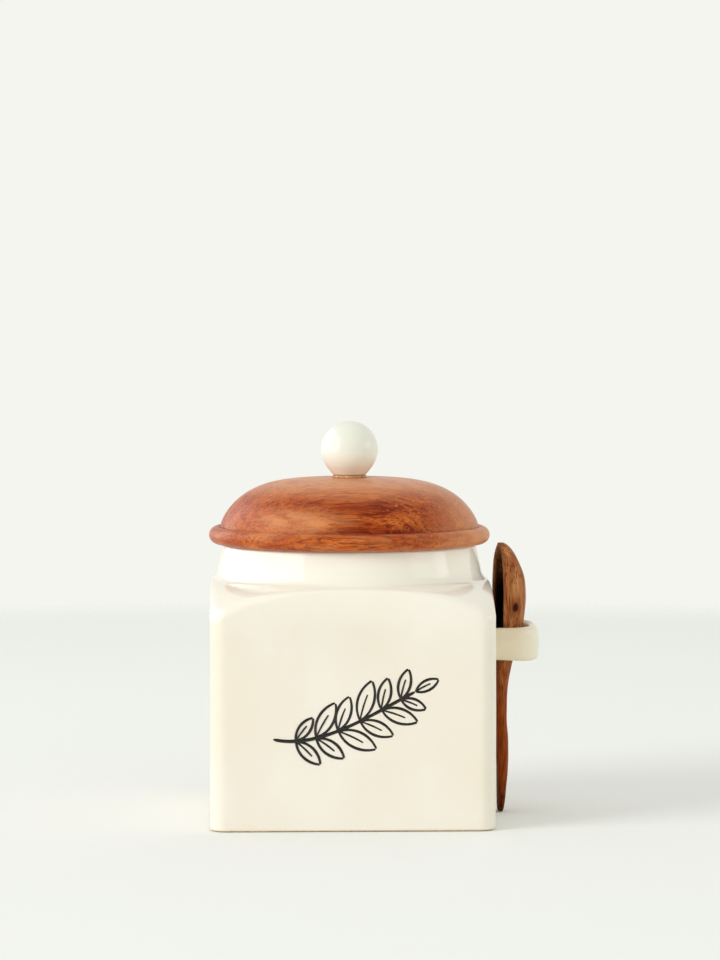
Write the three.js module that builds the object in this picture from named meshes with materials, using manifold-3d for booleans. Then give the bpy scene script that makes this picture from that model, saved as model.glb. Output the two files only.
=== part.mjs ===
// A square stoneware sugar canister with a round neck, a turned wooden lid with a glazed ball knob, and a
// small wooden spoon that hangs in a clay loop on the canister's right side.
// Millimetres, +Z up. The origin is the middle of the base, on the table. The front is towards -Y.
import * as THREE from "three";
import { mergeVertices } from "three/addons/utils/BufferGeometryUtils.js";
import Module from "manifold-3d";

// Canister: a square box that turns into a round neck.
const BODY_WIDTH = 103;
const BODY_HEIGHT = 100.5; // table to the rim of the neck
const BODY_EDGE_RADIUS = 6; // upright edges
const BODY_WALL = 5;
const BODY_FLOOR = 6;
const FOOT_ROUNDING = 1.25; // lower edge all round
const CAVITY_EDGE_RADIUS = 9; // upright edges inside, where the clay pools
const CAVITY_FLOOR_ROUNDING = 6;
const NECK_INSET = 4.5; // from the box's side to the neck's rim
const NECK_TAPER = 1.75; // how much wider the neck is at its foot, on the radius
const NECK_HEIGHT = 13; // shoulder to rim
const NECK_WALL = 4.5;
const NECK_FILLET = 4.5; // hollow curve between neck and shoulder
const RIM_ROUNDING = 1.25;
const SHOULDER_RADIUS = 53; // of the long curve that falls towards the corners
const SHOULDER_TILT = THREE.MathUtils.degToRad(15); // slope where that curve leaves the neck
const ARRIS_SOFTNESS = 4; // how far the round edge between shoulder and sides reaches

// Lid: turned from one block of wood, with a plug that goes into the neck.
const LID_OVERHANG = 5; // past the neck's rim
const LID_BEAD_THICKNESS = 6.25;
const LID_BEAD_STEP = 4.15; // from the bead's edge in to the foot of the dome
const LID_DOME_HEIGHT = 18;
const LID_DOME_POWER_SHARE = 4; // how flat the crown is
const LID_DOME_ROLL_SHARE = 0.72; // under 1, the dome stands upright on the bead
const LID_GROOVE_DEPTH = 0.5; // turned line between the dome and the bead's crown
const PLUG_DEPTH = 9;
const PLUG_CLEARANCE = 2; // plug to bore, which the seal's lips close
const PLUG_CHAMFER = 1;
const SCREW_HOLE_CLEARANCE = 0.3;

// Seal: a soft ring with two lips, in a groove round the plug.
const SEAL_THICKNESS = 2;
const SEAL_HEIGHT = 4;
const SEAL_LIP_THICKNESS = 0.9;
const SEAL_CLEARANCE = 0.3; // on every side, to the groove and to the bore
const SEAL_DROP = 2.5; // from the lid's seat to the groove

// Knob: a glazed ball on a short foot, held from below by one machine screw.
const KNOB_RADIUS = 10.6;
const KNOB_HEIGHT = 20.1;
const KNOB_FOOT_RADIUS = 6.3;
const KNOB_FOOT_ROUNDING = 0.5;
const WASHER_THICKNESS = 0.85; // cork between the knob and the wood
const INSERT_RADIUS = 3.25; // brass nut set in the knob
const INSERT_LENGTH = 9;
const INSERT_FLANGE = 0.75; // shoulder at each end, which keys it in the cement
const CEMENT_GAP = 0.3;
const SCREW_RADIUS = 2;
const THREAD_REACH = 7.75; // how far the screw goes into the knob
const SCREW_TIP = 0.75;
const SCREW_HEAD_RADIUS = 4;
const SCREW_HEAD_HEIGHT = 2.5;
const SCREW_SLOT_WIDTH = 1;
const SCREW_SLOT_LENGTH = 4.5;
const SCREW_SLOT_DEPTH = 1.5;
const THREAD_CLEARANCE = 0.3;
const HEAD_WASHER_RADIUS = 5;
const HEAD_WASHER_THICKNESS = 0.75;
const COUNTERBORE_CLEARANCE = 1; // round the washer
const COUNTERBORE_DEPTH = 4;

// Spoon: carved from one piece. It hangs bowl up, its back away from the canister.
const SPOON_LENGTH = 100;
const SPOON_BOWL_HALF_WIDTH = 11.25;
const SPOON_BOWL_DEPTH = 10.1;
const SPOON_LIP = 1.6; // thickness of the bowl's edge
const SPOON_LID_GAP = 3.5; // from the lid's edge out to the plane of the bowl's edge
const SPOON_TURN = THREE.MathUtils.degToRad(8); // its hollow is turned a little to the front
const SPOON_TABLE_GAP = 0.4; // handle's end to the table

// Loop: a strap of clay luted to the canister's side, a little larger than the bowl where it seats. Its end is
// squarer than an ellipse, its back is a little higher than its front, and its underside sags towards its end.
const LOOP_HEIGHT = 12;
const LOOP_THICKNESS = 4.25;
const LOOP_ROUNDING = 1.5;
const LOOP_SIDE_GAP = 0.85; // bowl to strap, at each side
const LOOP_BACK_GAP = 2; // bowl to strap, at its back
const LOOP_FLARE = 1.5; // extra thickness where the strap meets the side
const LOOP_POWER_SHARE = 2.7; // 2 would make its end an ellipse
const LOOP_TILT = THREE.MathUtils.degToRad(3);
const LOOP_SAG = 1.4;

// Steps of the round surfaces, and how far a cutter reaches past what it cuts.
const ROUND_STEPS = 60;
const SIDE_STEPS = 9; // across one side of the square box
const CORNER_STEPS = 5; // round one of its upright edges
const SMALL_ROUND_STEPS = 24;
const FILLET_STEPS = 3;
const CURVE_STEPS = 8;
const SHOULDER_STEPS = 8;
const CUT_OVERRUN = 1;

// What follows from the sizes above.
const HALF_WIDTH = BODY_WIDTH / 2;
const NECK_RIM_RADIUS = HALF_WIDTH - NECK_INSET;
const NECK_FOOT_RADIUS = NECK_RIM_RADIUS + NECK_TAPER;
const BORE_RADIUS = NECK_RIM_RADIUS - NECK_WALL;
const SHOULDER_HEIGHT = BODY_HEIGHT - NECK_HEIGHT;
const PLUG_RADIUS = BORE_RADIUS - PLUG_CLEARANCE;
const SEAL_OUTER_RADIUS = BORE_RADIUS - SEAL_CLEARANCE;
const SEAL_CORE_RADIUS = PLUG_RADIUS;
const SEAL_INNER_RADIUS = PLUG_RADIUS - SEAL_THICKNESS;
const SEAL_GROOVE_RADIUS = SEAL_INNER_RADIUS - SEAL_CLEARANCE;
const SEAL_GROOVE_HEIGHT = SEAL_HEIGHT + 2 * SEAL_CLEARANCE;
const LID_RADIUS = NECK_RIM_RADIUS + LID_OVERHANG;
const DOME_RADIUS = LID_RADIUS - LID_BEAD_STEP;
const LID_TOP = LID_BEAD_THICKNESS + LID_DOME_HEIGHT;
const SPOON_STANDOFF = LID_RADIUS + SPOON_LID_GAP - HALF_WIDTH;
const SCREW_HOLE_RADIUS = SCREW_RADIUS + SCREW_HOLE_CLEARANCE;
const COUNTERBORE_RADIUS = HEAD_WASHER_RADIUS + COUNTERBORE_CLEARANCE;
const COUNTERBORE_TOP = COUNTERBORE_DEPTH - PLUG_DEPTH;
const INSERT_HOLE_RADIUS = INSERT_RADIUS + CEMENT_GAP;
const SCREW_SEAT = COUNTERBORE_TOP - HEAD_WASHER_THICKNESS;
const KNOB_SEAT = LID_TOP + WASHER_THICKNESS;
const SCREW_LENGTH = KNOB_SEAT + THREAD_REACH - SCREW_SEAT;

// Stations along the spoon, from the handle's end to the bowl's tip, as shares of its own sizes: place along
// the length, half width, back, front, hollow, and where the edge lies between front and back.
const SPOON_STATION_SHARES = [
  [0.0, 0.22, 0.16, -0.02, 0.0, 0.5],
  [0.018, 0.3, 0.2, -0.04, 0.0, 0.5],
  [0.07, 0.37, 0.26, -0.05, 0.0, 0.5],
  [0.15, 0.4, 0.33, -0.06, 0.0, 0.5],
  [0.24, 0.37, 0.36, -0.08, 0.0, 0.5],
  [0.35, 0.33, 0.3, -0.1, 0.0, 0.5],
  [0.455, 0.33, 0.33, -0.12, 0.0, 0.5],
  [0.545, 0.42, 0.48, -0.13, 0.0, 0.45],
  [0.61, 0.6, 0.68, -0.08, 0.0, 0.3],
  [0.685, 0.84, 0.87, -0.02, 0.32, 0.05],
  [0.735, 0.93, 0.95, -0.02, 0.58, 0.0],
  [0.81, 0.97, 1.0, -0.02, 0.72, 0.0],
  [0.87, 0.93, 0.94, -0.02, 0.66, 0.0],
  [0.93, 0.79, 0.73, -0.02, 0.42, 0.0],
  [0.972, 0.56, 0.49, -0.03, 0.16, 0.08],
  [0.993, 0.3, 0.29, -0.04, 0.0, 0.3],
  [1.0, 0.1, 0.16, -0.03, 0.0, 0.5],
];
const SPOON_SEAT_ROW = 9; // the station where the bowl sits in the loop
const SPOON_STEPS_PER_STATION = 2;
const SPOON_EDGE_STEPS = 12; // across the back, and again across the front
const BOWL_ROUND_SHARE = 0.62; // fullness of the hollow's section

const wasm = await Module();
wasm.setup();

// A three.js geometry as a manifold-3d solid.
function solid(geometry) {
  const bare = geometry.clone();
  bare.deleteAttribute("normal");
  bare.deleteAttribute("uv");
  const merged = mergeVertices(bare);
  return new wasm.Manifold(
    new wasm.Mesh({
      numProp: 3,
      vertProperties: new Float32Array(merged.getAttribute("position").array),
      triVerts: new Uint32Array(merged.index.array),
    }),
  );
}

// A manifold-3d solid as a three.js geometry.
function geometryOf(made) {
  const mesh = made.getMesh();
  const geometry = new THREE.BufferGeometry();
  geometry.setAttribute("position", new THREE.BufferAttribute(mesh.vertProperties, 3));
  geometry.setIndex(new THREE.BufferAttribute(mesh.triVerts, 1));
  return geometry;
}

// Turns an outline of [radius, height] pairs about +Z. An outline runs up its outer side.
function turned(outline, steps) {
  const points = outline.map(([radius, height]) => new THREE.Vector2(radius, height));
  return new THREE.LatheGeometry(points, steps).rotateX(Math.PI / 2);
}

// Points of an arc about a centre, from one angle to another, as [radius, height] pairs.
function arc([x, y], radius, from, to, steps) {
  return Array.from({ length: steps + 1 }, (_, i) => {
    const angle = from + ((to - from) * i) / steps;
    return [x + radius * Math.cos(angle), y + radius * Math.sin(angle)];
  });
}

// A closed solid through rings of equally many points, counter-clockwise seen from the last one.
function lofted(rings) {
  const around = rings[0].length;
  const middle = (ring) => [0, 1, 2].map((k) => ring.reduce((sum, point) => sum + point[k], 0) / around);
  const positions = [...rings.flat(), middle(rings[0]), middle(rings.at(-1))];
  const [firstEnd, lastEnd] = [positions.length - 2, positions.length - 1];
  const last = (rings.length - 1) * around;
  const faces = [];
  for (let i = 0; i < around; i++) {
    const next = (i + 1) % around;
    for (let low = 0; low < last; low += around) {
      const high = low + around;
      faces.push(low + i, low + next, high + next, low + i, high + next, high + i);
    }
    faces.push(next, i, firstEnd, last + i, last + next, lastEnd);
  }
  const geometry = new THREE.BufferGeometry();
  geometry.setAttribute("position", new THREE.Float32BufferAttribute(positions.flat(), 3));
  geometry.setIndex(faces);
  return geometry;
}

// Distance from the axis to a square with round corners, in one direction.
function squareRadius(angle, halfWidth, cornerRadius) {
  const [x, y] = [Math.abs(Math.cos(angle)), Math.abs(Math.sin(angle))];
  const toSide = halfWidth / Math.max(x, y);
  const corner = halfWidth - cornerRadius;
  if (toSide * Math.min(x, y) <= corner) {
    return toSide;
  }
  const along = corner * (x + y);
  return along + Math.sqrt(along ** 2 - 2 * corner ** 2 + cornerRadius ** 2);
}

// The smaller of two distances, with a round transition where they are nearly equal.
function softMinimum(a, b) {
  const reach = Math.max(ARRIS_SOFTNESS - Math.abs(a - b), 0);
  return Math.min(a, b) - reach ** 2 / (4 * ARRIS_SOFTNESS);
}

// Directions round the body: evenly across the sides, and closer together round the upright edges.
function bodyAngles() {
  const edge = Math.atan2(HALF_WIDTH - BODY_EDGE_RADIUS, HALF_WIDTH);
  const side = Array.from({ length: SIDE_STEPS }, (_, i) => edge * ((2 * i) / SIDE_STEPS - 1));
  const turn = Math.PI / 2 - 2 * edge;
  const corner = Array.from({ length: CORNER_STEPS }, (_, i) => edge + (turn * i) / CORNER_STEPS);
  return [0, 1, 2, 3].flatMap((quarter) => [...side, ...corner].map((angle) => angle + (quarter * Math.PI) / 2));
}

// One level ring of the body: a square with round corners, inside a circle where the body is round.
function bodyRing(height, halfWidth, cornerRadius, circleRadius = Infinity) {
  return bodyAngles().map((angle) => {
    const radius = softMinimum(squareRadius(angle, halfWidth, cornerRadius), circleRadius);
    return [radius * Math.cos(angle), radius * Math.sin(angle), height];
  });
}

// Rings up the round edge at the bottom of a square form.
function bottomRings(bottom, halfWidth, cornerRadius, rounding) {
  return arc([halfWidth - rounding, bottom + rounding], rounding, -Math.PI / 2, 0, FILLET_STEPS).map(
    ([reach, height]) => bodyRing(height, reach, cornerRadius - halfWidth + reach),
  );
}

// Rings up the shoulder, which is a long round curve, from below its arris to its innermost circle. The
// offset is how far its surface lies in from the outside.
function shoulderRings(halfWidth, cornerRadius, offset, innermost) {
  const centreRadius =
    NECK_FOOT_RADIUS + NECK_FILLET * (1 - Math.sin(SHOULDER_TILT)) - SHOULDER_RADIUS * Math.sin(SHOULDER_TILT);
  const centreHeight = SHOULDER_HEIGHT - SHOULDER_RADIUS * Math.cos(SHOULDER_TILT);
  return Array.from({ length: SHOULDER_STEPS + 1 }, (_, i) =>
    bodyAngles().map((angle) => {
      const side = squareRadius(angle, halfWidth, cornerRadius);
      const reach = THREE.MathUtils.lerp(side + ARRIS_SOFTNESS, innermost, i / SHOULDER_STEPS);
      const rise = Math.sqrt((SHOULDER_RADIUS - offset) ** 2 - (reach - centreRadius) ** 2);
      const radius = softMinimum(side, reach);
      return [radius * Math.cos(angle), radius * Math.sin(angle), centreHeight + rise];
    }),
  );
}

// The box with its neck: up its outside, over the rim, and down its inside to the floor.
function canisterBody() {
  const filletCentre = [
    NECK_FOOT_RADIUS + NECK_FILLET,
    SHOULDER_HEIGHT + NECK_FILLET * Math.cos(SHOULDER_TILT),
  ];
  const shoulderStart = filletCentre[0] - NECK_FILLET * Math.sin(SHOULDER_TILT);
  const rimCentre = [NECK_RIM_RADIUS - RIM_ROUNDING, BODY_HEIGHT - RIM_ROUNDING];
  const lipCentre = [BORE_RADIUS + RIM_ROUNDING, BODY_HEIGHT - RIM_ROUNDING];
  const neck = [
    ...arc(filletCentre, NECK_FILLET, 1.5 * Math.PI - SHOULDER_TILT, Math.PI, FILLET_STEPS).slice(1),
    ...arc(rimCentre, RIM_ROUNDING, 0, Math.PI / 2, FILLET_STEPS),
  ];
  const bore = arc(lipCentre, RIM_ROUNDING, Math.PI / 2, Math.PI, FILLET_STEPS);
  const cavityHalfWidth = HALF_WIDTH - BODY_WALL;
  return lofted([
    ...bottomRings(0, HALF_WIDTH, BODY_EDGE_RADIUS, FOOT_ROUNDING),
    ...shoulderRings(HALF_WIDTH, BODY_EDGE_RADIUS, 0, shoulderStart),
    ...neck.map(([radius, height]) => bodyRing(height, HALF_WIDTH, BODY_EDGE_RADIUS, radius)),
    ...bore.map(([radius, height]) => bodyRing(height, cavityHalfWidth, CAVITY_EDGE_RADIUS, radius)),
    ...shoulderRings(cavityHalfWidth, CAVITY_EDGE_RADIUS, BODY_WALL, BORE_RADIUS).reverse(),
    ...bottomRings(BODY_FLOOR, cavityHalfWidth, CAVITY_EDGE_RADIUS, CAVITY_FLOOR_ROUNDING).reverse(),
  ]);
}

// One value of the spoon's station table, smoothed between its rows.
function spoonShares(place) {
  const last = SPOON_STATION_SHARES.length - 1;
  const row = (i) => SPOON_STATION_SHARES[THREE.MathUtils.clamp(i, 0, last)];
  const i = Math.min(Math.floor(place), last - 1);
  const t = place - i;
  return row(i).map((value, column) => {
    const before = row(i - 1)[column];
    const next = row(i + 1)[column];
    const after = row(i + 2)[column];
    const a = 2 * value;
    const b = next - before;
    const c = 2 * before - 5 * value + 4 * next - after;
    const d = -before + 3 * value - 3 * next + after;
    return (a + b * t + c * t * t + d * t * t * t) / 2;
  });
}

// One closed section of the spoon: across its back, then across its front and down into the bowl.
function spoonSection(place) {
  const [along, width, back, front, hollow, edge] = spoonShares(place);
  const z = along * SPOON_LENGTH;
  const w = Math.max(width, 0) * SPOON_BOWL_HALF_WIDTH;
  const backX = back * SPOON_BOWL_DEPTH;
  const frontX = front * SPOON_BOWL_DEPTH;
  const edgeX = frontX + Math.max(edge, 0) * (backX - frontX);
  const hollowHalfWidth = Math.max(w - SPOON_LIP, SPOON_LIP);
  const points = [];
  for (let i = 0; i < SPOON_EDGE_STEPS; i++) {
    const angle = (Math.PI * i) / SPOON_EDGE_STEPS;
    points.push([edgeX + (backX - edgeX) * Math.sin(angle), -w * Math.cos(angle), z]);
  }
  for (let i = 0; i < SPOON_EDGE_STEPS; i++) {
    const angle = (Math.PI * i) / SPOON_EDGE_STEPS;
    const y = w * Math.cos(angle);
    const across = Math.max(1 - (y / hollowHalfWidth) ** 2, 0);
    const scoop = Math.max(hollow, 0) * SPOON_BOWL_DEPTH * across ** BOWL_ROUND_SHARE;
    points.push([edgeX - (edgeX - frontX) * Math.sin(angle) + scoop, y, z]);
  }
  return points;
}

// The whole spoon, from the handle's end to the bowl's tip.
function spoonGeometry() {
  const sections = (SPOON_STATION_SHARES.length - 1) * SPOON_STEPS_PER_STATION;
  return lofted(Array.from({ length: sections + 1 }, (_, i) => spoonSection(i / SPOON_STEPS_PER_STATION)));
}

// The bowl where it sits in the loop, and what the loop takes from it.
const [SEAT_PLACE_SHARE, SEAT_WIDTH_SHARE, SEAT_BACK_SHARE] = SPOON_STATION_SHARES[SPOON_SEAT_ROW];
const LOOP_TOP = SPOON_TABLE_GAP + SEAT_PLACE_SHARE * SPOON_LENGTH + LOOP_ROUNDING;
const LOOP_HALF_WIDTH = SEAT_WIDTH_SHARE * SPOON_BOWL_HALF_WIDTH + LOOP_SIDE_GAP;
const LOOP_REACH = SEAT_BACK_SHARE * SPOON_BOWL_DEPTH + LOOP_BACK_GAP;

// The strap's end seen from above, from its front to its back.
function loopEnd(reach, halfWidth) {
  const power = 2 / LOOP_POWER_SHARE;
  return Array.from({ length: 2 * CURVE_STEPS + 1 }, (_, i) => {
    const side = Math.sin((Math.PI * (i / CURVE_STEPS - 1)) / 2);
    const x = reach * (1 - side ** 2) ** (power / 2);
    const y = halfWidth * Math.sign(side) * Math.abs(side) ** power;
    return new THREE.Vector2(SPOON_STANDOFF + x, y);
  });
}

// The strap's outline seen from above, from the canister's side at x = 0: straight, then round.
function loopOutline() {
  const outer = LOOP_HALF_WIDTH + LOOP_THICKNESS;
  const flare = outer + LOOP_FLARE;
  const root = -LOOP_THICKNESS;
  const shape = new THREE.Shape();
  shape.moveTo(root, -flare);
  shape.lineTo(0, -flare);
  shape.quadraticCurveTo(LOOP_FLARE / 2, -outer, SPOON_STANDOFF, -outer);
  loopEnd(LOOP_REACH + LOOP_THICKNESS, outer).forEach((point) => shape.lineTo(point.x, point.y));
  shape.quadraticCurveTo(LOOP_FLARE / 2, outer, 0, flare);
  shape.lineTo(root, flare);
  shape.lineTo(root, LOOP_HALF_WIDTH);
  loopEnd(LOOP_REACH, LOOP_HALF_WIDTH).reverse().forEach((point) => shape.lineTo(point.x, point.y));
  shape.lineTo(root, -LOOP_HALF_WIDTH);
  return shape;
}

// The strap, its edges round, cut flat where it meets the canister's side. What lies lower and further out sags
// more.
function spoonLoop() {
  const strap = new THREE.ExtrudeGeometry(loopOutline(), {
    depth: LOOP_HEIGHT - 2 * LOOP_ROUNDING,
    bevelSize: LOOP_ROUNDING,
    bevelThickness: LOOP_ROUNDING,
    bevelOffset: -LOOP_ROUNDING,
    bevelSegments: FILLET_STEPS - 1,
    curveSegments: CURVE_STEPS,
  });
  strap.translate(0, 0, LOOP_ROUNDING - LOOP_HEIGHT / 2);
  const reach = SPOON_STANDOFF + LOOP_REACH + LOOP_THICKNESS;
  const points = strap.getAttribute("position");
  for (let i = 0; i < points.count; i += 1) {
    const z = points.getZ(i);
    const out = Math.max(points.getX(i) / reach, 0);
    points.setZ(i, z - LOOP_SAG * (1 / 2 - z / LOOP_HEIGHT) * out ** 2);
  }
  strap.rotateX(LOOP_TILT).translate(0, 0, -LOOP_HEIGHT / 2);
  const cutWidth = 2 * (LOOP_HALF_WIDTH + LOOP_THICKNESS + LOOP_FLARE + CUT_OVERRUN);
  const cutDepth = 2 * LOOP_THICKNESS;
  const cutter = new THREE.BoxGeometry(cutDepth, cutWidth, 2 * LOOP_HEIGHT + 2 * CUT_OVERRUN);
  cutter.translate(-cutDepth / 2, 0, 0);
  return geometryOf(solid(strap).subtract(solid(cutter)));
}

// The lid about its seat on the rim: dome, bead, plug with the seal's groove, and the screw's hole.
function lidGeometry() {
  const beadRadius = LID_BEAD_THICKNESS / 2;
  const beadCentre = [LID_RADIUS - beadRadius, beadRadius];
  const grooveTop = -SEAL_DROP;
  const grooveBottom = grooveTop - SEAL_GROOVE_HEIGHT;
  const holeAngle = Math.asin((SCREW_HOLE_RADIUS / DOME_RADIUS) ** (LID_DOME_POWER_SHARE / 2));
  const dome = Array.from({ length: CURVE_STEPS + FILLET_STEPS }, (_, i) => {
    const angle = holeAngle + ((Math.PI / 2 - holeAngle) * i) / (CURVE_STEPS + FILLET_STEPS);
    const radius = DOME_RADIUS * Math.sin(angle) ** (2 / LID_DOME_POWER_SHARE);
    return [radius, LID_BEAD_THICKNESS + LID_DOME_HEIGHT * Math.cos(angle) ** (2 * LID_DOME_ROLL_SHARE)];
  });
  const downTheOutside = [
    ...dome,
    [DOME_RADIUS, LID_BEAD_THICKNESS - LID_GROOVE_DEPTH],
    ...arc(beadCentre, beadRadius, Math.PI / 2, -Math.PI / 2, 2 * FILLET_STEPS),
    [PLUG_RADIUS, 0],
    [PLUG_RADIUS, grooveTop],
    [SEAL_GROOVE_RADIUS, grooveTop],
    [SEAL_GROOVE_RADIUS, grooveBottom],
    [PLUG_RADIUS, grooveBottom],
    [PLUG_RADIUS, PLUG_CHAMFER - PLUG_DEPTH],
    [PLUG_RADIUS - PLUG_CHAMFER, -PLUG_DEPTH],
    [COUNTERBORE_RADIUS, -PLUG_DEPTH],
    [COUNTERBORE_RADIUS, COUNTERBORE_TOP],
    [SCREW_HOLE_RADIUS, COUNTERBORE_TOP],
    dome[0],
  ];
  return turned(downTheOutside.reverse(), ROUND_STEPS);
}

// The seal about its own lower face: a band with two lips that lean out to the bore.
function sealGeometry() {
  const lip = (low) => [
    [SEAL_CORE_RADIUS, low],
    [SEAL_OUTER_RADIUS, low + SEAL_LIP_THICKNESS / 2],
    [SEAL_OUTER_RADIUS, low + SEAL_LIP_THICKNESS],
    [SEAL_CORE_RADIUS, low + SEAL_LIP_THICKNESS],
  ];
  return turned(
    [
      [SEAL_INNER_RADIUS, 0],
      ...lip(0),
      ...lip(SEAL_HEIGHT - SEAL_LIP_THICKNESS),
      [SEAL_INNER_RADIUS, SEAL_HEIGHT],
      [SEAL_INNER_RADIUS, 0],
    ],
    ROUND_STEPS,
  );
}

// The knob about the underside of its foot: a ball that a cone meets on a tangent, with a blind hole.
function knobGeometry() {
  const centre = [0, KNOB_HEIGHT - KNOB_RADIUS];
  const footHeight = KNOB_FOOT_ROUNDING;
  const reach = Math.hypot(KNOB_FOOT_RADIUS, centre[1] - footHeight);
  const footAngle = Math.atan2(footHeight - centre[1], KNOB_FOOT_RADIUS);
  const tangentAngle = footAngle + Math.acos(Math.min(KNOB_RADIUS / reach, 1));
  const holeTop = INSERT_LENGTH + CEMENT_GAP;
  return turned(
    [
      [INSERT_HOLE_RADIUS, 0],
      [KNOB_FOOT_RADIUS - KNOB_FOOT_ROUNDING, 0],
      [KNOB_FOOT_RADIUS, footHeight],
      ...arc(centre, KNOB_RADIUS, tangentAngle, Math.PI / 2, CURVE_STEPS + FILLET_STEPS).slice(0, -1),
      [0, KNOB_HEIGHT],
      [0, holeTop],
      [INSERT_HOLE_RADIUS, holeTop],
      [INSERT_HOLE_RADIUS, 0],
    ],
    SMALL_ROUND_STEPS,
  );
}

// A flat washer about its lower face.
function washerGeometry(radius, holeRadius, thickness) {
  return turned(
    [
      [holeRadius, 0],
      [radius, 0],
      [radius, thickness],
      [holeRadius, thickness],
      [holeRadius, 0],
    ],
    SMALL_ROUND_STEPS,
  );
}

// The brass nut in the knob, about its lower face: a tube with a waist that the cement grips.
function insertGeometry() {
  const bore = SCREW_RADIUS + THREAD_CLEARANCE;
  const waist = (bore + INSERT_RADIUS) / 2;
  return turned(
    [
      [bore, 0],
      [INSERT_RADIUS, 0],
      [INSERT_RADIUS, INSERT_FLANGE],
      [waist, INSERT_FLANGE],
      [waist, INSERT_LENGTH - INSERT_FLANGE],
      [INSERT_RADIUS, INSERT_LENGTH - INSERT_FLANGE],
      [INSERT_RADIUS, INSERT_LENGTH],
      [bore, INSERT_LENGTH],
      [bore, 0],
    ],
    SMALL_ROUND_STEPS,
  );
}

// The machine screw about the underside of its head, shank up, with a cross slot in the head.
function screwGeometry() {
  const headRounding = SCREW_HEAD_HEIGHT / 2;
  const headCentre = [SCREW_HEAD_RADIUS - headRounding, headRounding - SCREW_HEAD_HEIGHT];
  const shank = turned(
    [
      [0, -SCREW_HEAD_HEIGHT],
      ...arc(headCentre, headRounding, -Math.PI / 2, 0, FILLET_STEPS),
      [SCREW_HEAD_RADIUS, 0],
      [SCREW_RADIUS, 0],
      [SCREW_RADIUS, SCREW_LENGTH - SCREW_TIP],
      [SCREW_RADIUS - SCREW_TIP, SCREW_LENGTH],
      [0, SCREW_LENGTH],
    ],
    SMALL_ROUND_STEPS,
  );
  let screw = solid(shank);
  for (const [x, y] of [[SCREW_SLOT_LENGTH, SCREW_SLOT_WIDTH], [SCREW_SLOT_WIDTH, SCREW_SLOT_LENGTH]]) {
    const slot = new THREE.BoxGeometry(x, y, 2 * SCREW_SLOT_DEPTH);
    screw = screw.subtract(solid(slot.translate(0, 0, -SCREW_HEAD_HEIGHT)));
  }
  return geometryOf(screw);
}

// Finishes.
const FINISHES = {
  glaze: { color: 0xf0e9d8, roughness: 0.15, metalness: 0 },
  lidWood: { color: 0xa8532c, roughness: 0.5, metalness: 0 },
  spoonWood: { color: 0x7a3f1d, roughness: 0.55, metalness: 0 },
  cork: { color: 0xb98b53, roughness: 0.9, metalness: 0 },
  silicone: { color: 0xe9ebe8, roughness: 0.6, metalness: 0 },
  brass: { color: 0xc9a24a, roughness: 0.35, metalness: 0.9 },
  steel: { color: 0xb9bcc0, roughness: 0.35, metalness: 0.9 },
};

// A named mesh in one finish, at a place in its group.
function piece(name, geometry, finish, x = 0, z = 0) {
  const mesh = new THREE.Mesh(geometry, new THREE.MeshStandardMaterial(FINISHES[finish]));
  mesh.name = name;
  mesh.position.set(x, 0, z);
  return mesh;
}

// The lid with its seal, knob and screw, about its seat on the rim.
function lidAssembly() {
  const assembly = new THREE.Group();
  const sealBottom = SEAL_CLEARANCE - SEAL_DROP - SEAL_GROOVE_HEIGHT;
  assembly.add(
    piece("lid", lidGeometry(), "lidWood"),
    piece("lid_seal", sealGeometry(), "silicone", 0, sealBottom),
    piece("knob_washer", washerGeometry(KNOB_FOOT_RADIUS, SCREW_HOLE_RADIUS, WASHER_THICKNESS), "cork", 0, LID_TOP),
    piece("knob", knobGeometry(), "glaze", 0, KNOB_SEAT),
    piece("knob_insert", insertGeometry(), "brass", 0, KNOB_SEAT),
    piece(
      "screw_washer",
      washerGeometry(HEAD_WASHER_RADIUS, SCREW_HOLE_RADIUS, HEAD_WASHER_THICKNESS),
      "steel",
      0,
      SCREW_SEAT,
    ),
    piece("knob_screw", screwGeometry(), "steel", 0, SCREW_SEAT),
  );
  assembly.position.z = BODY_HEIGHT;
  return assembly;
}

// The canister with the loop on its right side.
function canisterAssembly() {
  const assembly = new THREE.Group();
  assembly.add(
    piece("canister_body", canisterBody(), "glaze"),
    piece("spoon_loop", spoonLoop(), "glaze", HALF_WIDTH, LOOP_TOP),
  );
  return assembly;
}

// The spoon where it hangs in the loop.
function hangingSpoon() {
  const spoon = piece("spoon", spoonGeometry(), "spoonWood", HALF_WIDTH + SPOON_STANDOFF, SPOON_TABLE_GAP);
  spoon.rotation.z = SPOON_TURN;
  return spoon;
}

const sugarCanister = new THREE.Group();
sugarCanister.add(canisterAssembly(), lidAssembly(), hangingSpoon());

export default sugarCanister;
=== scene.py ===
"""A square stoneware sugar canister with a turned wooden lid, a glazed knob and a hanging wooden spoon.

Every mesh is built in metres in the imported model's own frame: +Z up, the front towards -Y, the origin on the
table under the middle of the canister.
"""

import logging
import math
from collections.abc import Mapping, Sequence
from dataclasses import dataclass
from enum import Enum
from functools import cached_property
from types import MappingProxyType

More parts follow.
